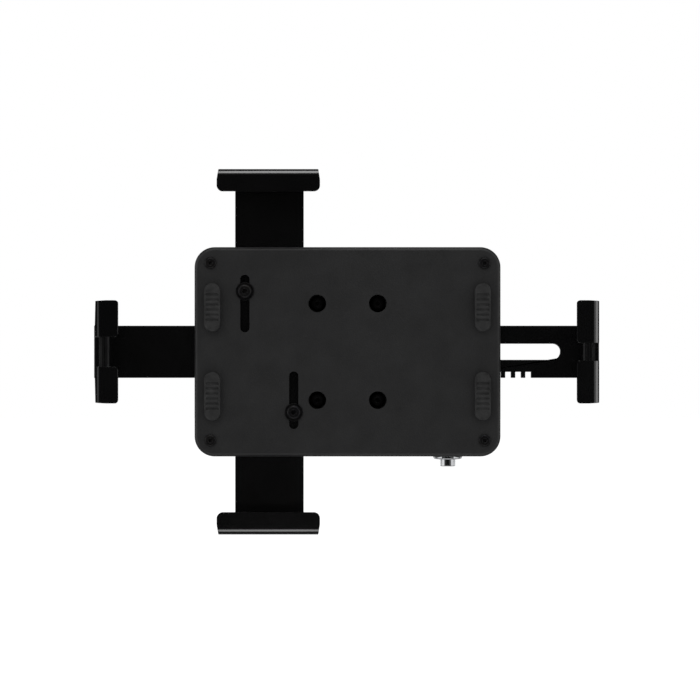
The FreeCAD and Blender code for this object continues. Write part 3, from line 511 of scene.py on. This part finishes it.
def threadedRod(radius, pitch, low, high, steps):
    # a notch one pitch high is swept round the axis, and the rod is then cut flat with a lead at its low end
    s = threadShape
    depth = s["depth"] * pitch
    dropSelection()
    start = ((radius - depth) * mm, 0, (low - s["runIn"] * pitch) * mm)
    bpy.ops.mesh.primitive_plane_add(size=pitch * mm, location=start)
    rod = renamed(bpy.context.object, "thread")
    applyPlace(rod)
    openEdit(rod, "VERT")
    bpy.ops.mesh.select_all(action="SELECT")
    bpy.ops.mesh.merge(type="CENTER")
    bpy.ops.mesh.select_all(action="SELECT")
    for out, rise in ((1, s["flank"]), (0, s["flat"]), (-1, s["flank"]), (0, s["flat"])):
        step = (out * depth * mm, 0, rise * pitch * mm)
        bpy.ops.mesh.extrude_vertices_move(TRANSFORM_OT_translate={"value": step})
    closeEdit()
    sweepUp(rod, pitch * mm, math.ceil((high - low) / pitch) + 2, steps)
    openEdit(rod)
    bpy.ops.mesh.select_all(action="SELECT")
    bpy.ops.mesh.remove_doubles(threshold=tolerances["mergeSwept"] * mm)
    for height, side in ((low, -1), (high, 1)):
        bpy.ops.mesh.select_all(action="SELECT")
        bpy.ops.mesh.bisect(plane_co=(0, 0, height * mm), plane_no=(0, 0, side), use_fill=True,
                            clear_outer=True, threshold=tolerances["cut"] * mm)
    closeEdit()
    turnNormalsOut(rod)
    envelope = turnedSolid("lead", [
        (radius - depth, low - s["clearance"]),
        (radius + s["clearance"], low + depth),
        (radius + s["clearance"], high + past),
    ])
    return combine(rod, envelope, "INTERSECT")


def addThread(head, s, low, high):
    thread = threadedRod(s["radius"], s["pitch"], low, high, s.get("steps", threadShape["steps"]))
    combine(head, thread, "UNION")
    turnNormalsOut(head)
    evenNormals(head, threadShape["sharpFrom"])


def buttonHead(radius, height, curve):
    # flat seat, short straight side, quarter round and flat top
    chamfer = headShape["seatChamfer"]
    profile = [(radius - chamfer, 0.0), (radius, chamfer), (radius, height - curve)]
    for degrees in headShape["roundedAt"]:
        turn = math.radians(degrees)
        out = radius - curve * (1 - math.cos(turn))
        profile.append((out, height - curve * (1 - math.sin(turn))))
    return turnedSolid("head", profile)


def boreSocket(head, flats, top, depth):
    # hexagonal hole with a chamfered mouth and the cone of its drill at the bottom
    s = socketShape
    bottom = top - depth
    combine(head, hexBar(flats, bottom, top + s["cutAbove"]), "DIFFERENCE")
    mouth = turnedSolid("mouth", [
        (flats * s["mouthFoot"], top - s["mouthDepth"]),
        (flats * s["mouthRim"], top + past),
    ])
    combine(head, mouth, "DIFFERENCE")
    cone = turnedSolid("drillTip", [
        (s["coneTip"], bottom - s["coneHeight"] * flats),
        (flats * s["coneRim"], bottom + s["coneLap"]),
    ])
    combine(head, cone, "DIFFERENCE")


def placesInBox(low, high, radius, columns, rows):
    # centres of equal round heads whose outer edges touch the box
    xs = [low.x + radius, high.x - radius] if columns == 2 else [(low.x + high.x) / 2]
    zs = [low.z + radius, high.z - radius] if rows == 2 else [(low.z + high.z) / 2]
    return [(x, z) for x in xs for z in zs]


screwKinds = {
    # M3 closes the cover and the lock, M4 joins the holder to the disc and clamps the upright arms
    "cover": {"headRadius": 2.9, "headHeight": 1.4, "headRound": 0.6, "flats": 2.0, "socket": 1.0,
              "radius": 1.5, "pitch": 0.5},
    "holder": {"headRadius": 3.8, "headHeight": 2.4, "headRound": 0.6, "flats": 2.5, "socket": 1.4,
               "radius": 2.0, "pitch": 0.7},
    "clamp": {"headRadius": 3.5, "headHeight": 1.9, "headRound": 0.6, "flats": 2.5, "socket": 1.4,
              "radius": 2.0, "pitch": 0.7},
}
screwSets = [
    # name, node, body, kind, columns, rows, faces the front
    ("coverScrew", "cover_screws", "holder", "cover", 2, 2, True),
    ("holderScrew", "holder_screws", "holder", "holder", 2, 2, True),
    ("lockScrew", "lock_screws", "holder", "cover", 2, 1, False),
    ("upperClampScrew", "top_clamp_screw", "top_arm", "clamp", 1, 1, True),
    ("lowerClampScrew", "bottom_clamp_screw", "bottom_arm", "clamp", 1, 1, True),
]
screwTwist = 37  # degrees from one screw's socket to the next one's


def screwMaster(name, s, length):
    # the seat of the head is at height 0, and the thread runs down from it
    head = buttonHead(s["headRadius"], s["headHeight"], s["headRound"] * s["headHeight"])
    boreSocket(head, s["flats"], s["headHeight"], s["socket"])
    addThread(head, s, -length, past)
    return renamed(head, name)


def makeScrews():
    for name, node, body, kind, columns, rows, toFront in screwSets:
        s = screwKinds[kind]
        low, high = nodeCorners(node)
        master = screwMaster(name, s, (high.y - low.y) / mm - s["headHeight"])
        seat = low.y + s["headHeight"] * mm if toFront else high.y - s["headHeight"] * mm
        tip = 90 if toFront else -90
        places = placesInBox(low, high, s["headRadius"] * mm, columns, rows)
        for count, (x, z) in enumerate(places, 1):
            screw = placedCopy(master, name + str(count), (x, seat, z), tip, screwTwist * count)
            settle(screw, body, "blackOxide", "black_screws", node)
        bpy.data.objects.remove(master, do_unlink=True)
        print(name + ":", len(places))


makeScrews()

flatScrew = {
    "headRadius": 3.7,
    "headHeight": 1.7,
    "rim": (0.05, 0.15),
    "neck": 0.2,
    "radius": 2.0,
    "pitch": 0.7,
    "flats": 2.5,
    "socket": 1.3,
    "twist": 50,
}


def makeFlatScrews():
    # countersunk screws of the fixed arm, flush with its strip
    s = flatScrew
    low, high = nodeCorners("left_arm_screws")
    head = turnedSolid("armScrew", [
        (s["radius"] - s["neck"], -s["headHeight"] - s["neck"]),
        (s["radius"], -s["headHeight"]),
        (s["headRadius"] - s["rim"][0], -s["rim"][1]),
        (s["headRadius"], 0.0),
    ])
    boreSocket(head, s["flats"], 0.0, s["socket"])
    addThread(head, s, -(high.y - low.y) / mm, -s["headHeight"] + past)
    places = placesInBox(low, high, s["headRadius"] * mm, 2, 1)
    for count, (x, z) in enumerate(places, 1):
        screw = placedCopy(head, "armScrew" + str(count), (x, low.y, z), 90, s["twist"] * count)
        settle(screw, "holder", "blackOxide", "black_screws", "left_arm_screws")
    bpy.data.objects.remove(head, do_unlink=True)
    print("flat screws:", len(places))


makeFlatScrews()

pivotBolt = {
    "radius": 3.0,
    "headRadius": 6.0,
    "headHeight": 3.0,
    "rim": (0.08, 0.2),
    "flats": 4.0,
    "socket": 1.8,
    "pitch": 1.0,
    "threadLength": 8.5,
    "steps": 36,
    "twist": 12,
}
pivotNut = {
    # collarRound: steps (in from the collar's side, below its top), and boreLead: wider and higher by
    "flats": 10.0,
    "chamfer": 0.55,
    "chamferHeight": 0.35,
    "clearance": (0.02, 0.01),
    "collarRadius": 4.2,
    "collarHeight": 1.6,
    "collarRoot": 0.5,
    "collarRound": ((0, 0.5), (0.15, 0.15), (0.5, 0)),
    "collarLip": 0.45,
    "boreGap": 0.03,
    "boreLead": (0.45, 0.4),
    "edge": 0.08,
    "twist": 30,
}
nylonRing = {
    # rim: steps (in from the seat, below the collar's top), and hole: its cut's reach below and above it
    "height": 1.3,
    "gap": 0.02,
    "rim": ((0.02, 0.25), (0.12, 0.15)),
    "hole": (2, 1),
    "edge": 0.06,
}


def makePivotBolt():
    # its flat head lies in the turning disc and its end stands in the nut, towards the wall
    s = pivotBolt
    low, high = nodeCorners("pivot_bolt")
    length = (high.y - low.y) / mm
    threadTop = -length + s["threadLength"]
    bolt = turnedSolid("pivotBolt", [
        (s["radius"], threadTop - past),
        (s["radius"], -s["headHeight"]),
        (s["headRadius"] - s["rim"][0], -s["rim"][1]),
        (s["headRadius"], 0.0),
    ])
    boreSocket(bolt, s["flats"], 0.0, s["socket"])
    addThread(bolt, s, -length, threadTop)
    placed = placeOnly(bolt, "hubBolt", (0, low.y, 0), 90, s["twist"])
    settle(placed, "holder", "zinc", "zinc_steel", "pivot_bolt")


def makePivotNut():
    # hexagon with both corners turned off, and a rolled collar that holds a nylon ring
    s = pivotNut
    low, high = nodeCorners("pivot_nut")
    height = (high.y - low.y) / mm
    hexHeight = height - s["collarHeight"]
    corner = hexCorner(s["flats"])
    around, beyond = s["clearance"]
    nut = hexBar(s["flats"], 0, hexHeight)
    turned = turnedSolid("turned", [
        (corner - s["chamfer"], -beyond),
        (corner + around, s["chamferHeight"]),
        (corner + around, hexHeight - s["chamferHeight"]),
        (corner - s["chamfer"], hexHeight + beyond),
    ])
    combine(nut, turned, "INTERSECT")
    rolled = [(s["collarRadius"] - inward, height - below) for inward, below in s["collarRound"]]
    collar = turnedSolid("collar", [(s["collarRadius"], hexHeight - s["collarRoot"]), *rolled])
    combine(nut, collar, "UNION")
    boreRadius = pivotBolt["radius"] + s["boreGap"]
    bore = turnedSolid("bore", [
        (pivotBolt["radius"] + s["boreLead"][0], -past),
        (boreRadius, s["boreLead"][1]),
        (boreRadius, height + past),
    ])
    combine(nut, bore, "DIFFERENCE")
    seatRadius = s["collarRadius"] - s["collarLip"]
    ringFoot = height - nylonRing["height"]
    seat = turnedSolid("ringSeat", [(seatRadius, ringFoot), (seatRadius, height + past)])
    combine(nut, seat, "DIFFERENCE")
    softenEdges(nut, s["edge"], "turned")
    placed = placeOnly(nut, "lockNut", (0, low.y, 0), -90, s["twist"])
    settle(placed, "holder", "zinc", "zinc_steel", "pivot_nut")

    s = nylonRing
    rim = [(seatRadius - inward, height - below) for inward, below in s["rim"]]
    ring = turnedSolid("nylonRing", [(seatRadius - s["gap"], ringFoot + s["gap"]), *rim])
    below, above = s["hole"]
    hole = turnedSolid("hole", [(boreRadius, height - below), (boreRadius, height + above)])
    combine(ring, hole, "DIFFERENCE")
    softenEdges(ring, s["edge"], "turned")
    placed = placeOnly(ring, "nutRing", (0, low.y, 0), -90)
    settle(placed, "holder", "naturalNylon", "natural_nylon")
    print("hub bolt, nut and its nylon ring made")


makePivotBolt()
makePivotNut()

lockCore = {
    "chamfer": 0.15,
    "rim": 0.35,
    "dish": 0.3,
    "dishSlope": 0.15,
    "slotWidth": 1.2,
    "slotHeight": 4.0,
    "slotDepth": 8.0,
    "wardWidth": 0.6,
    "wardHeight": 1.1,
    "wardPlace": 0.7,
    "wardOut": 0.9,
    "edge": 0.04,
}
lockSpring = {"wire": 0.8, "wireVertices": 14, "turns": 3, "steps": 36, "sharpFrom": 50, "travel": 3.6}


def boxCutter(size, place):
    dropSelection()
    bpy.ops.mesh.primitive_cube_add(size=1, location=[v * mm for v in place])
    cutter = bpy.context.object
    cutter.scale = [v * mm for v in size]
    applyPlace(cutter)
    return cutter


def makeLockCore():
    # round face with a shallow dish and a keyway with two wards
    s = lockCore
    low, high = nodeCorners("lock_core")
    radius = (high.x - low.x) / 2 / mm
    length = (high.z - low.z) / mm
    core = turnedSolid("keyCore", [
        (radius, -length),
        (radius, -s["chamfer"]),
        (radius - s["chamfer"], 0.0),
        (radius - s["rim"], 0.0),
        (radius - s["rim"] - s["dishSlope"], -s["dish"]),
    ])
    combine(core, boxCutter((s["slotWidth"], s["slotHeight"], 2 * s["slotDepth"]), (0, 0, 0)), "DIFFERENCE")
    for side in (-1, 1):
        place = (side * (s["slotWidth"] + s["wardWidth"]) / 2 * s["wardOut"], side * s["wardPlace"], 0)
        combine(core, boxCutter((s["wardWidth"], s["wardHeight"], 2 * s["slotDepth"]), place), "DIFFERENCE")
    softenEdges(core, s["edge"], "turned")
    middle = (low + high) / 2
    placed = placeOnly(core, "keyFace", (middle.x, middle.y, low.z), 180)
    settle(placed, "lock_core", "nickel", "lock_core_steel", "lock_core")


def makeLockSpring():
    # a wire's round section is swept up and round over the height of its place, and its two ends are closed
    s = lockSpring
    low, high = nodeCorners("lock_spring")
    wire = s["wire"] / 2 * mm
    radius = (high.x - low.x) / 2 - wire
    middle = (low + high) / 2
    dropSelection()
    bpy.ops.mesh.primitive_circle_add(vertices=s["wireVertices"], radius=wire,
                                      location=(radius, 0, low.z + wire), rotation=(math.radians(90), 0, 0))
    spring = renamed(bpy.context.object, "returnSpring")
    applyPlace(spring)
    sweepUp(spring, (high.z - low.z - 2 * wire) / s["turns"], s["turns"], s["steps"])
    openEdit(spring, "EDGE")
    bpy.ops.mesh.select_all(action="SELECT")
    bpy.ops.mesh.remove_doubles(threshold=tolerances["mergeSwept"] * mm)
    bpy.ops.mesh.select_all(action="DESELECT")
    bpy.ops.mesh.select_non_manifold()
    bpy.ops.mesh.fill_holes(sides=0)
    closeEdit()
    turnNormalsOut(spring)
    smoothByAngle(spring, s["sharpFrom"])
    spring.location = (middle.x, middle.y, 0)
    applyPlace(spring)
    settle(spring, "holder", "spring", "spring_steel", "lock_spring")
    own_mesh(spring)


makeLockCore()
makeLockSpring()
print("lock core and spring made")


# Rubber and silicone pads

def pressRows(piece, onFace, axis, middle, s, into):
    # the face is inset, cut across at each row and pressed in between the cuts
    rows = [middle + (k - (s["rows"] - 1) / 2) * s["rowPitch"] * mm for k in range(s["rows"])]
    half = s["rowWidth"] / 2 * mm
    margin = 0.02 * mm
    selectFaces(piece, onFace)
    bpy.ops.mesh.inset(thickness=s["rim"] * mm, depth=0)
    closeEdit()
    inner = [face for face in piece.data.polygons if face.select]
    points = [piece.data.vertices[i].co for face in inner for i in face.vertices]
    low = Vector([min(p[k] for p in points) for k in range(3)])
    high = Vector([max(p[k] for p in points) for k in range(3)])

    def inside(centre, normal):
        held = all(low[k] - margin < centre[k] < high[k] + margin for k in range(3))
        return held and onFace(centre, normal)

    direction = [1.0 if k == axis else 0.0 for k in range(3)]
    for row in rows:
        for cut in (row - half, row + half):
            selectFaces(piece, inside)
            spot = [cut if k == axis else low[k] for k in range(3)]
            bpy.ops.mesh.bisect(plane_co=spot, plane_no=direction, threshold=tolerances["cut"] * mm)
            closeEdit()
    selectFaces(piece, lambda centre, normal: inside(centre, normal)
                and any(abs(centre[axis] - row) < half for row in rows))
    press = [v * s["rowDepth"] * mm for v in into]
    bpy.ops.mesh.extrude_region_move(TRANSFORM_OT_translate={"value": press})
    closeEdit()


bumperPad = {"rim": 0.9, "rows": 6, "rowPitch": 2.5, "rowWidth": 1.1, "rowDepth": 0.6, "edge": 0.45,
             "outlineVertices": 40, "topFrom": 0.9}


def makeBumpers():
    # long pads with rounded ends and pressed-in cross rows
    s = bumperPad
    low, high = nodeCorners("upper_left_bumper")
    width, height, length = high.x - low.x, high.y - low.y, high.z - low.z
    dropSelection()
    bpy.ops.mesh.primitive_circle_add(vertices=s["outlineVertices"], radius=width / 2, fill_type="NGON",
                                      rotation=(0, 0, math.pi / s["outlineVertices"]))
    pad = renamed(bpy.context.object, "bumper")
    applyPlace(pad)
    for end in (-1, 1):
        openEdit(pad, "VERT")
        bpy.ops.mesh.select_all(action="DESELECT")
        closeEdit()
        for vertex in pad.data.vertices:
            vertex.select = vertex.co.y * end > 0
        bpy.ops.object.mode_set(mode="EDIT")
        bpy.ops.transform.translate(value=(0, end * (length - width) / 2, 0))
        closeEdit()
    openEdit(pad)
    bpy.ops.mesh.select_all(action="SELECT")
    bpy.ops.mesh.extrude_region_move(TRANSFORM_OT_translate={"value": (0, 0, height)})
    closeEdit()
    turnNormalsOut(pad)

    def onTop(centre, normal):
        return normal.z > s["topFrom"] and centre.z > height * s["topFrom"]

    pressRows(pad, onTop, 1, 0, s, (0, 0, -1))
    softenEdges(pad, s["edge"], "bumper")
    for row in ("upper", "lower"):
        for column in ("left", "right"):
            node = row + "_" + column + "_bumper"
            corner, opposite = nodeCorners(node)
            middle = (corner + opposite) / 2
            name = row + column.capitalize() + "Bumper"
            piece = placedCopy(pad, name, (middle.x, opposite.y, middle.z), 90)
            settle(piece, "holder", "rubber", "bumper_rubber", node)
    bpy.data.objects.remove(pad, do_unlink=True)
    print("bumpers: 4")


makeBumpers()

liners = {
    # piece: node, body, axis that its reach runs along
    "leftLiner": ("left_liner", "holder", 0),
    "rightLiner": ("right_liner", "right_arm", 0),
    "topLiner": ("top_liner", "top_arm", 2),
    "bottomLiner": ("bottom_liner", "bottom_arm", 2),
}
linerRibs = {"ledgeDepth": 30.9, "ledgeWithin": 0.02, "flatFrom": 0.99, "rim": 0.5, "rows": 3,
             "rowPitch": 1.4, "rowWidth": 0.6, "rowDepth": 0.35, "edge": 0.22}


def onLedge(centre, normal):
    s = linerRibs
    return normal.y < -s["flatFrom"] and abs(centre.y + s["ledgeDepth"] * mm) < s["ledgeWithin"] * mm


def makeLiners():
    # silicone linings of the hooks, with rows pressed into the ledge that faces each hook's lip
    s = linerRibs
    for name, (node, body, axis) in liners.items():
        piece = copyOfNode(node, name)
        ledge = [face for face in piece.data.polygons if onLedge(face.center, face.normal)]
        along = [piece.data.vertices[i].co[axis] for face in ledge for i in face.vertices]
        pressRows(piece, onLedge, axis, (min(along) + max(along)) / 2, s, (0, 1, 0))
        softenEdges(piece, s["edge"], "liner")
        settle(piece, body, "silicone", "silicone", node)
        print("liner:", name, len(ledge), "ledge faces")


makeLiners()


# Floor, world, lamps and camera

floorSettings = {
    # brightness in reflections grows with the distance behind the mount, over the span given last
    "height": -0.20,
    "size": 6.0,
    "front": -0.06,
    "colour": (0.9, 0.9, 0.9),
    "roughness": 0.9,
    "cameraGlow": 0.34,
    "inReflections": (0.25, 1.0),
    "brightFrom": (0.12, 0.75),
}


def seenDirectly(tree, path):
    # 1 for what the camera sees itself or through glass, and 0 in light and reflections
    return addMath(tree, "MAXIMUM", path.outputs["Is Camera Ray"], path.outputs["Is Transmission Ray"])


def joinShaders(tree, share, first, second):
    choice = tree.nodes.new("ShaderNodeMixShader")
    tree.links.new(share, choice.inputs["Fac"])
    tree.links.new(first, choice.inputs[1])
    tree.links.new(second, choice.inputs[2])
    return choice.outputs["Shader"]


def makeFloor():
    # a glow to the camera keeps it white under the shadow, and the black coat mirrors it dimly, as it does in
    # the photograph
    s = floorSettings
    dropSelection()
    middle = (0, s["front"] + s["size"] / 2, s["height"])
    bpy.ops.mesh.primitive_plane_add(size=s["size"], location=middle)
    floor = bpy.context.object
    floor.name = "paleFloor"
    applyPlace(floor)
    material, shader = newMaterial("paleFloor", s["colour"], 0.0, s["roughness"])
    shader.inputs["Specular IOR Level"].default_value = 0.0
    tree = material.node_tree
    path = tree.nodes.new("ShaderNodeLightPath")
    glow = addMath(tree, "MULTIPLY", seenDirectly(tree, path).outputs["Value"])
    glow.inputs[1].default_value = s["cameraGlow"]
    emission = tree.nodes.new("ShaderNodeEmission")
    tree.links.new(glow.outputs["Value"], emission.inputs["Strength"])
    total = tree.nodes.new("ShaderNodeAddShader")
    tree.links.new(shader.outputs["BSDF"], total.inputs[0])
    tree.links.new(emission.outputs["Emission"], total.inputs[1])
    place = tree.nodes.new("ShaderNodeTexCoord")
    parts = tree.nodes.new("ShaderNodeSeparateXYZ")
    tree.links.new(place.outputs["Object"], parts.inputs["Vector"])
    behind = addRange(tree, parts.outputs["Y"], s["brightFrom"], s["inReflections"])
    mirrored = tree.nodes.new("ShaderNodeEmission")
    tree.links.new(behind.outputs["Result"], mirrored.inputs["Strength"])
    surface = joinShaders(tree, path.outputs["Is Glossy Ray"], total.outputs["Shader"],
                          mirrored.outputs["Emission"])
    tree.links.new(surface, tree.nodes["Material Output"].inputs["Surface"])
    paint(floor, material)


worldSettings = {
    # room: brightness in reflections, at the sides and at the ends ahead and behind, with the span that it
    # changes over, and the share of it that is left at the far left
    "fill": 0.85,
    "white": 1.0,
    "room": (0.08, 0.010),
    "roomChange": (0.85, 0.97),
    "leftShare": 0.3,
    "leftChange": (-0.8, 0.2),
}


def makeWorld():
    # white to the camera, an even fill for matt light, and a dim room for reflections
    s = worldSettings
    world = bpy.data.worlds.new("studio")
    bpy.context.scene.world = world
    world.use_nodes = True
    world.cycles.sampling_method = "NONE"
    tree = world.node_tree
    tree.nodes.clear()
    place = tree.nodes.new("ShaderNodeTexCoord")
    parts = tree.nodes.new("ShaderNodeSeparateXYZ")
    tree.links.new(place.outputs["Generated"], parts.inputs["Vector"])
    depth = addMath(tree, "ABSOLUTE", parts.outputs["Y"])
    ends = addRange(tree, depth.outputs["Value"], s["roomChange"], s["room"])
    ends.interpolation_type = "SMOOTHSTEP"
    across = addRange(tree, parts.outputs["X"], s["leftChange"], (s["leftShare"], 1.0))
    level = addMath(tree, "MULTIPLY", ends.outputs["Result"], across.outputs["Result"])
    fill = tree.nodes.new("ShaderNodeBackground")
    mirror = tree.nodes.new("ShaderNodeBackground")
    white = tree.nodes.new("ShaderNodeBackground")
    for background in (fill, mirror, white):
        background.inputs["Color"].default_value = (1, 1, 1, 1)
    fill.inputs["Strength"].default_value = s["fill"]
    white.inputs["Strength"].default_value = s["white"]
    tree.links.new(level.outputs["Value"], mirror.inputs["Strength"])
    path = tree.nodes.new("ShaderNodeLightPath")
    unseen = joinShaders(tree, path.outputs["Is Glossy Ray"], fill.outputs["Background"],
                         mirror.outputs["Background"])
    seen = seenDirectly(tree, path).outputs["Value"]
    surface = joinShaders(tree, seen, unseen, white.outputs["Background"])
    output = tree.nodes.new("ShaderNodeOutputWorld")
    tree.links.new(surface, output.inputs["Surface"])


lampSettings = [
    # name, place, size x, size y, brightness, seen by gloss, seen by matt surfaces, lit pieces
    ("topBox", (-0.055, -0.495, 0.885), 0.20, 0.76, 20.0, True, False, "arms"),
    ("topFadeBox", (-0.055, -0.88, 0.50), 0.20, 0.24, 1.6, True, False, "arms"),
    ("lowBox", (-0.055, -0.773, -0.669), 0.20, 0.56, 14.5, True, False, "arms"),
    ("lowFadeBox", (-0.055, -0.964, -0.358), 0.20, 0.28, 4.0, True, False, "arms"),
    ("rightBox", (0.96, -0.306, 0.0), 0.8, 0.26, 10.5, True, False, "arms"),
    ("rightFadeBox", (0.62, -0.82, 0.0), 0.62, 0.26, 3.0, True, False, "arms"),
    ("leftBox", (-0.94, -0.37, 0.0), 0.5, 0.4, 2.4, True, False, "arms"),
    ("overheadBox", (0.0, -0.50, 0.90), 0.9, 0.9, 3.4, True, False, "others"),
    ("underBox", (0.0, -0.60, -0.80), 0.9, 0.7, 2.0, True, False, "others"),
    ("rightSoftBox", (1.00, -0.35, 0.1), 0.9, 0.9, 2.0, True, False, "others"),
    ("leftSoftBox", (-1.00, -0.35, 0.1), 0.9, 0.9, 2.6, True, False, "others"),
    ("frontRightBox", (0.62, -0.72, -0.38), 0.5, 0.5, 0.8, True, False, ""),
    ("frontLeftBox", (-0.62, -0.72, -0.38), 0.5, 0.5, 1.1, True, False, ""),
    ("frontHighRightBox", (0.55, -0.70, 0.50), 0.5, 0.4, 0.8, True, False, ""),
    ("frontHighLeftBox", (-0.55, -0.70, 0.50), 0.5, 0.4, 1.1, True, False, ""),
    ("backLeftBox", (-0.70, 0.66, 0.25), 0.6, 0.6, 1.2, True, False, "others"),
    ("backRightBox", (0.70, 0.66, 0.25), 0.6, 0.6, 0.9, True, False, "others"),
    ("keyBox", (-0.75, -1.05, 0.95), 0.8, 0.8, 1.6, False, True, ""),
    ("backKeyBox", (0.85, 1.05, 0.95), 0.8, 0.8, 1.6, False, True, ""),
]
lampAim = (0, -0.03, 0)
lampNest = (0.6, 0.8, 1.0)  # each box is three lamps one in another, so that its light fades at the rim


def makeLamps():
    # the boxes that draw the highlights are kept off the matt light, which stays at a plain level
    for name, place, sizeX, sizeY, brightness, gloss, matt, lit in lampSettings:
        for share in lampNest:
            lamp = bpy.data.lights.new(name, "AREA")
            lamp.shape = "RECTANGLE"
            lamp.size = sizeX * share
            lamp.size_y = sizeY * share
            lamp.energy = brightness / len(lampNest) * math.pi * lamp.size * lamp.size_y
            obj = bpy.data.objects.new(name, lamp)
            obj.location = place
            obj.rotation_mode = "QUATERNION"
            obj.rotation_quaternion = (Vector(lampAim) - Vector(place)).to_track_quat("-Z", "Y")
            obj.visible_camera = False
            obj.visible_glossy = gloss
            obj.visible_diffuse = matt
            if lit:
                obj.light_linking.receiver_collection = lampGroups[lit]
            bpy.context.scene.collection.objects.link(obj)


cameraSettings = {
    # straight from the front, with 343 mm of the hooks' plane across the picture
    "distance": 1.2,
    "viewWidth": 0.3428,
    "sensor": 36.0,
    "aim": (0.00123, 0.0009),
    "hookPlane": -0.0431,
    "sees": (0.05, 20),
}


def makeCamera():
    s = cameraSettings
    camera = bpy.data.cameras.new("photoCamera")
    camera.sensor_width = s["sensor"]
    camera.lens = s["sensor"] * s["distance"] / s["viewWidth"]
    camera.clip_start, camera.clip_end = s["sees"]
    obj = bpy.data.objects.new("photoCamera", camera)
    obj.location = (s["aim"][0], s["hookPlane"] - s["distance"], s["aim"][1])
    obj.rotation_euler = (math.radians(90), 0, 0)
    bpy.context.scene.collection.objects.link(obj)
    bpy.context.scene.camera = obj


makeFloor()
makeWorld()
makeLamps()
makeCamera()
bpy.context.scene.view_settings.view_transform = "Standard"
print("stage ready")
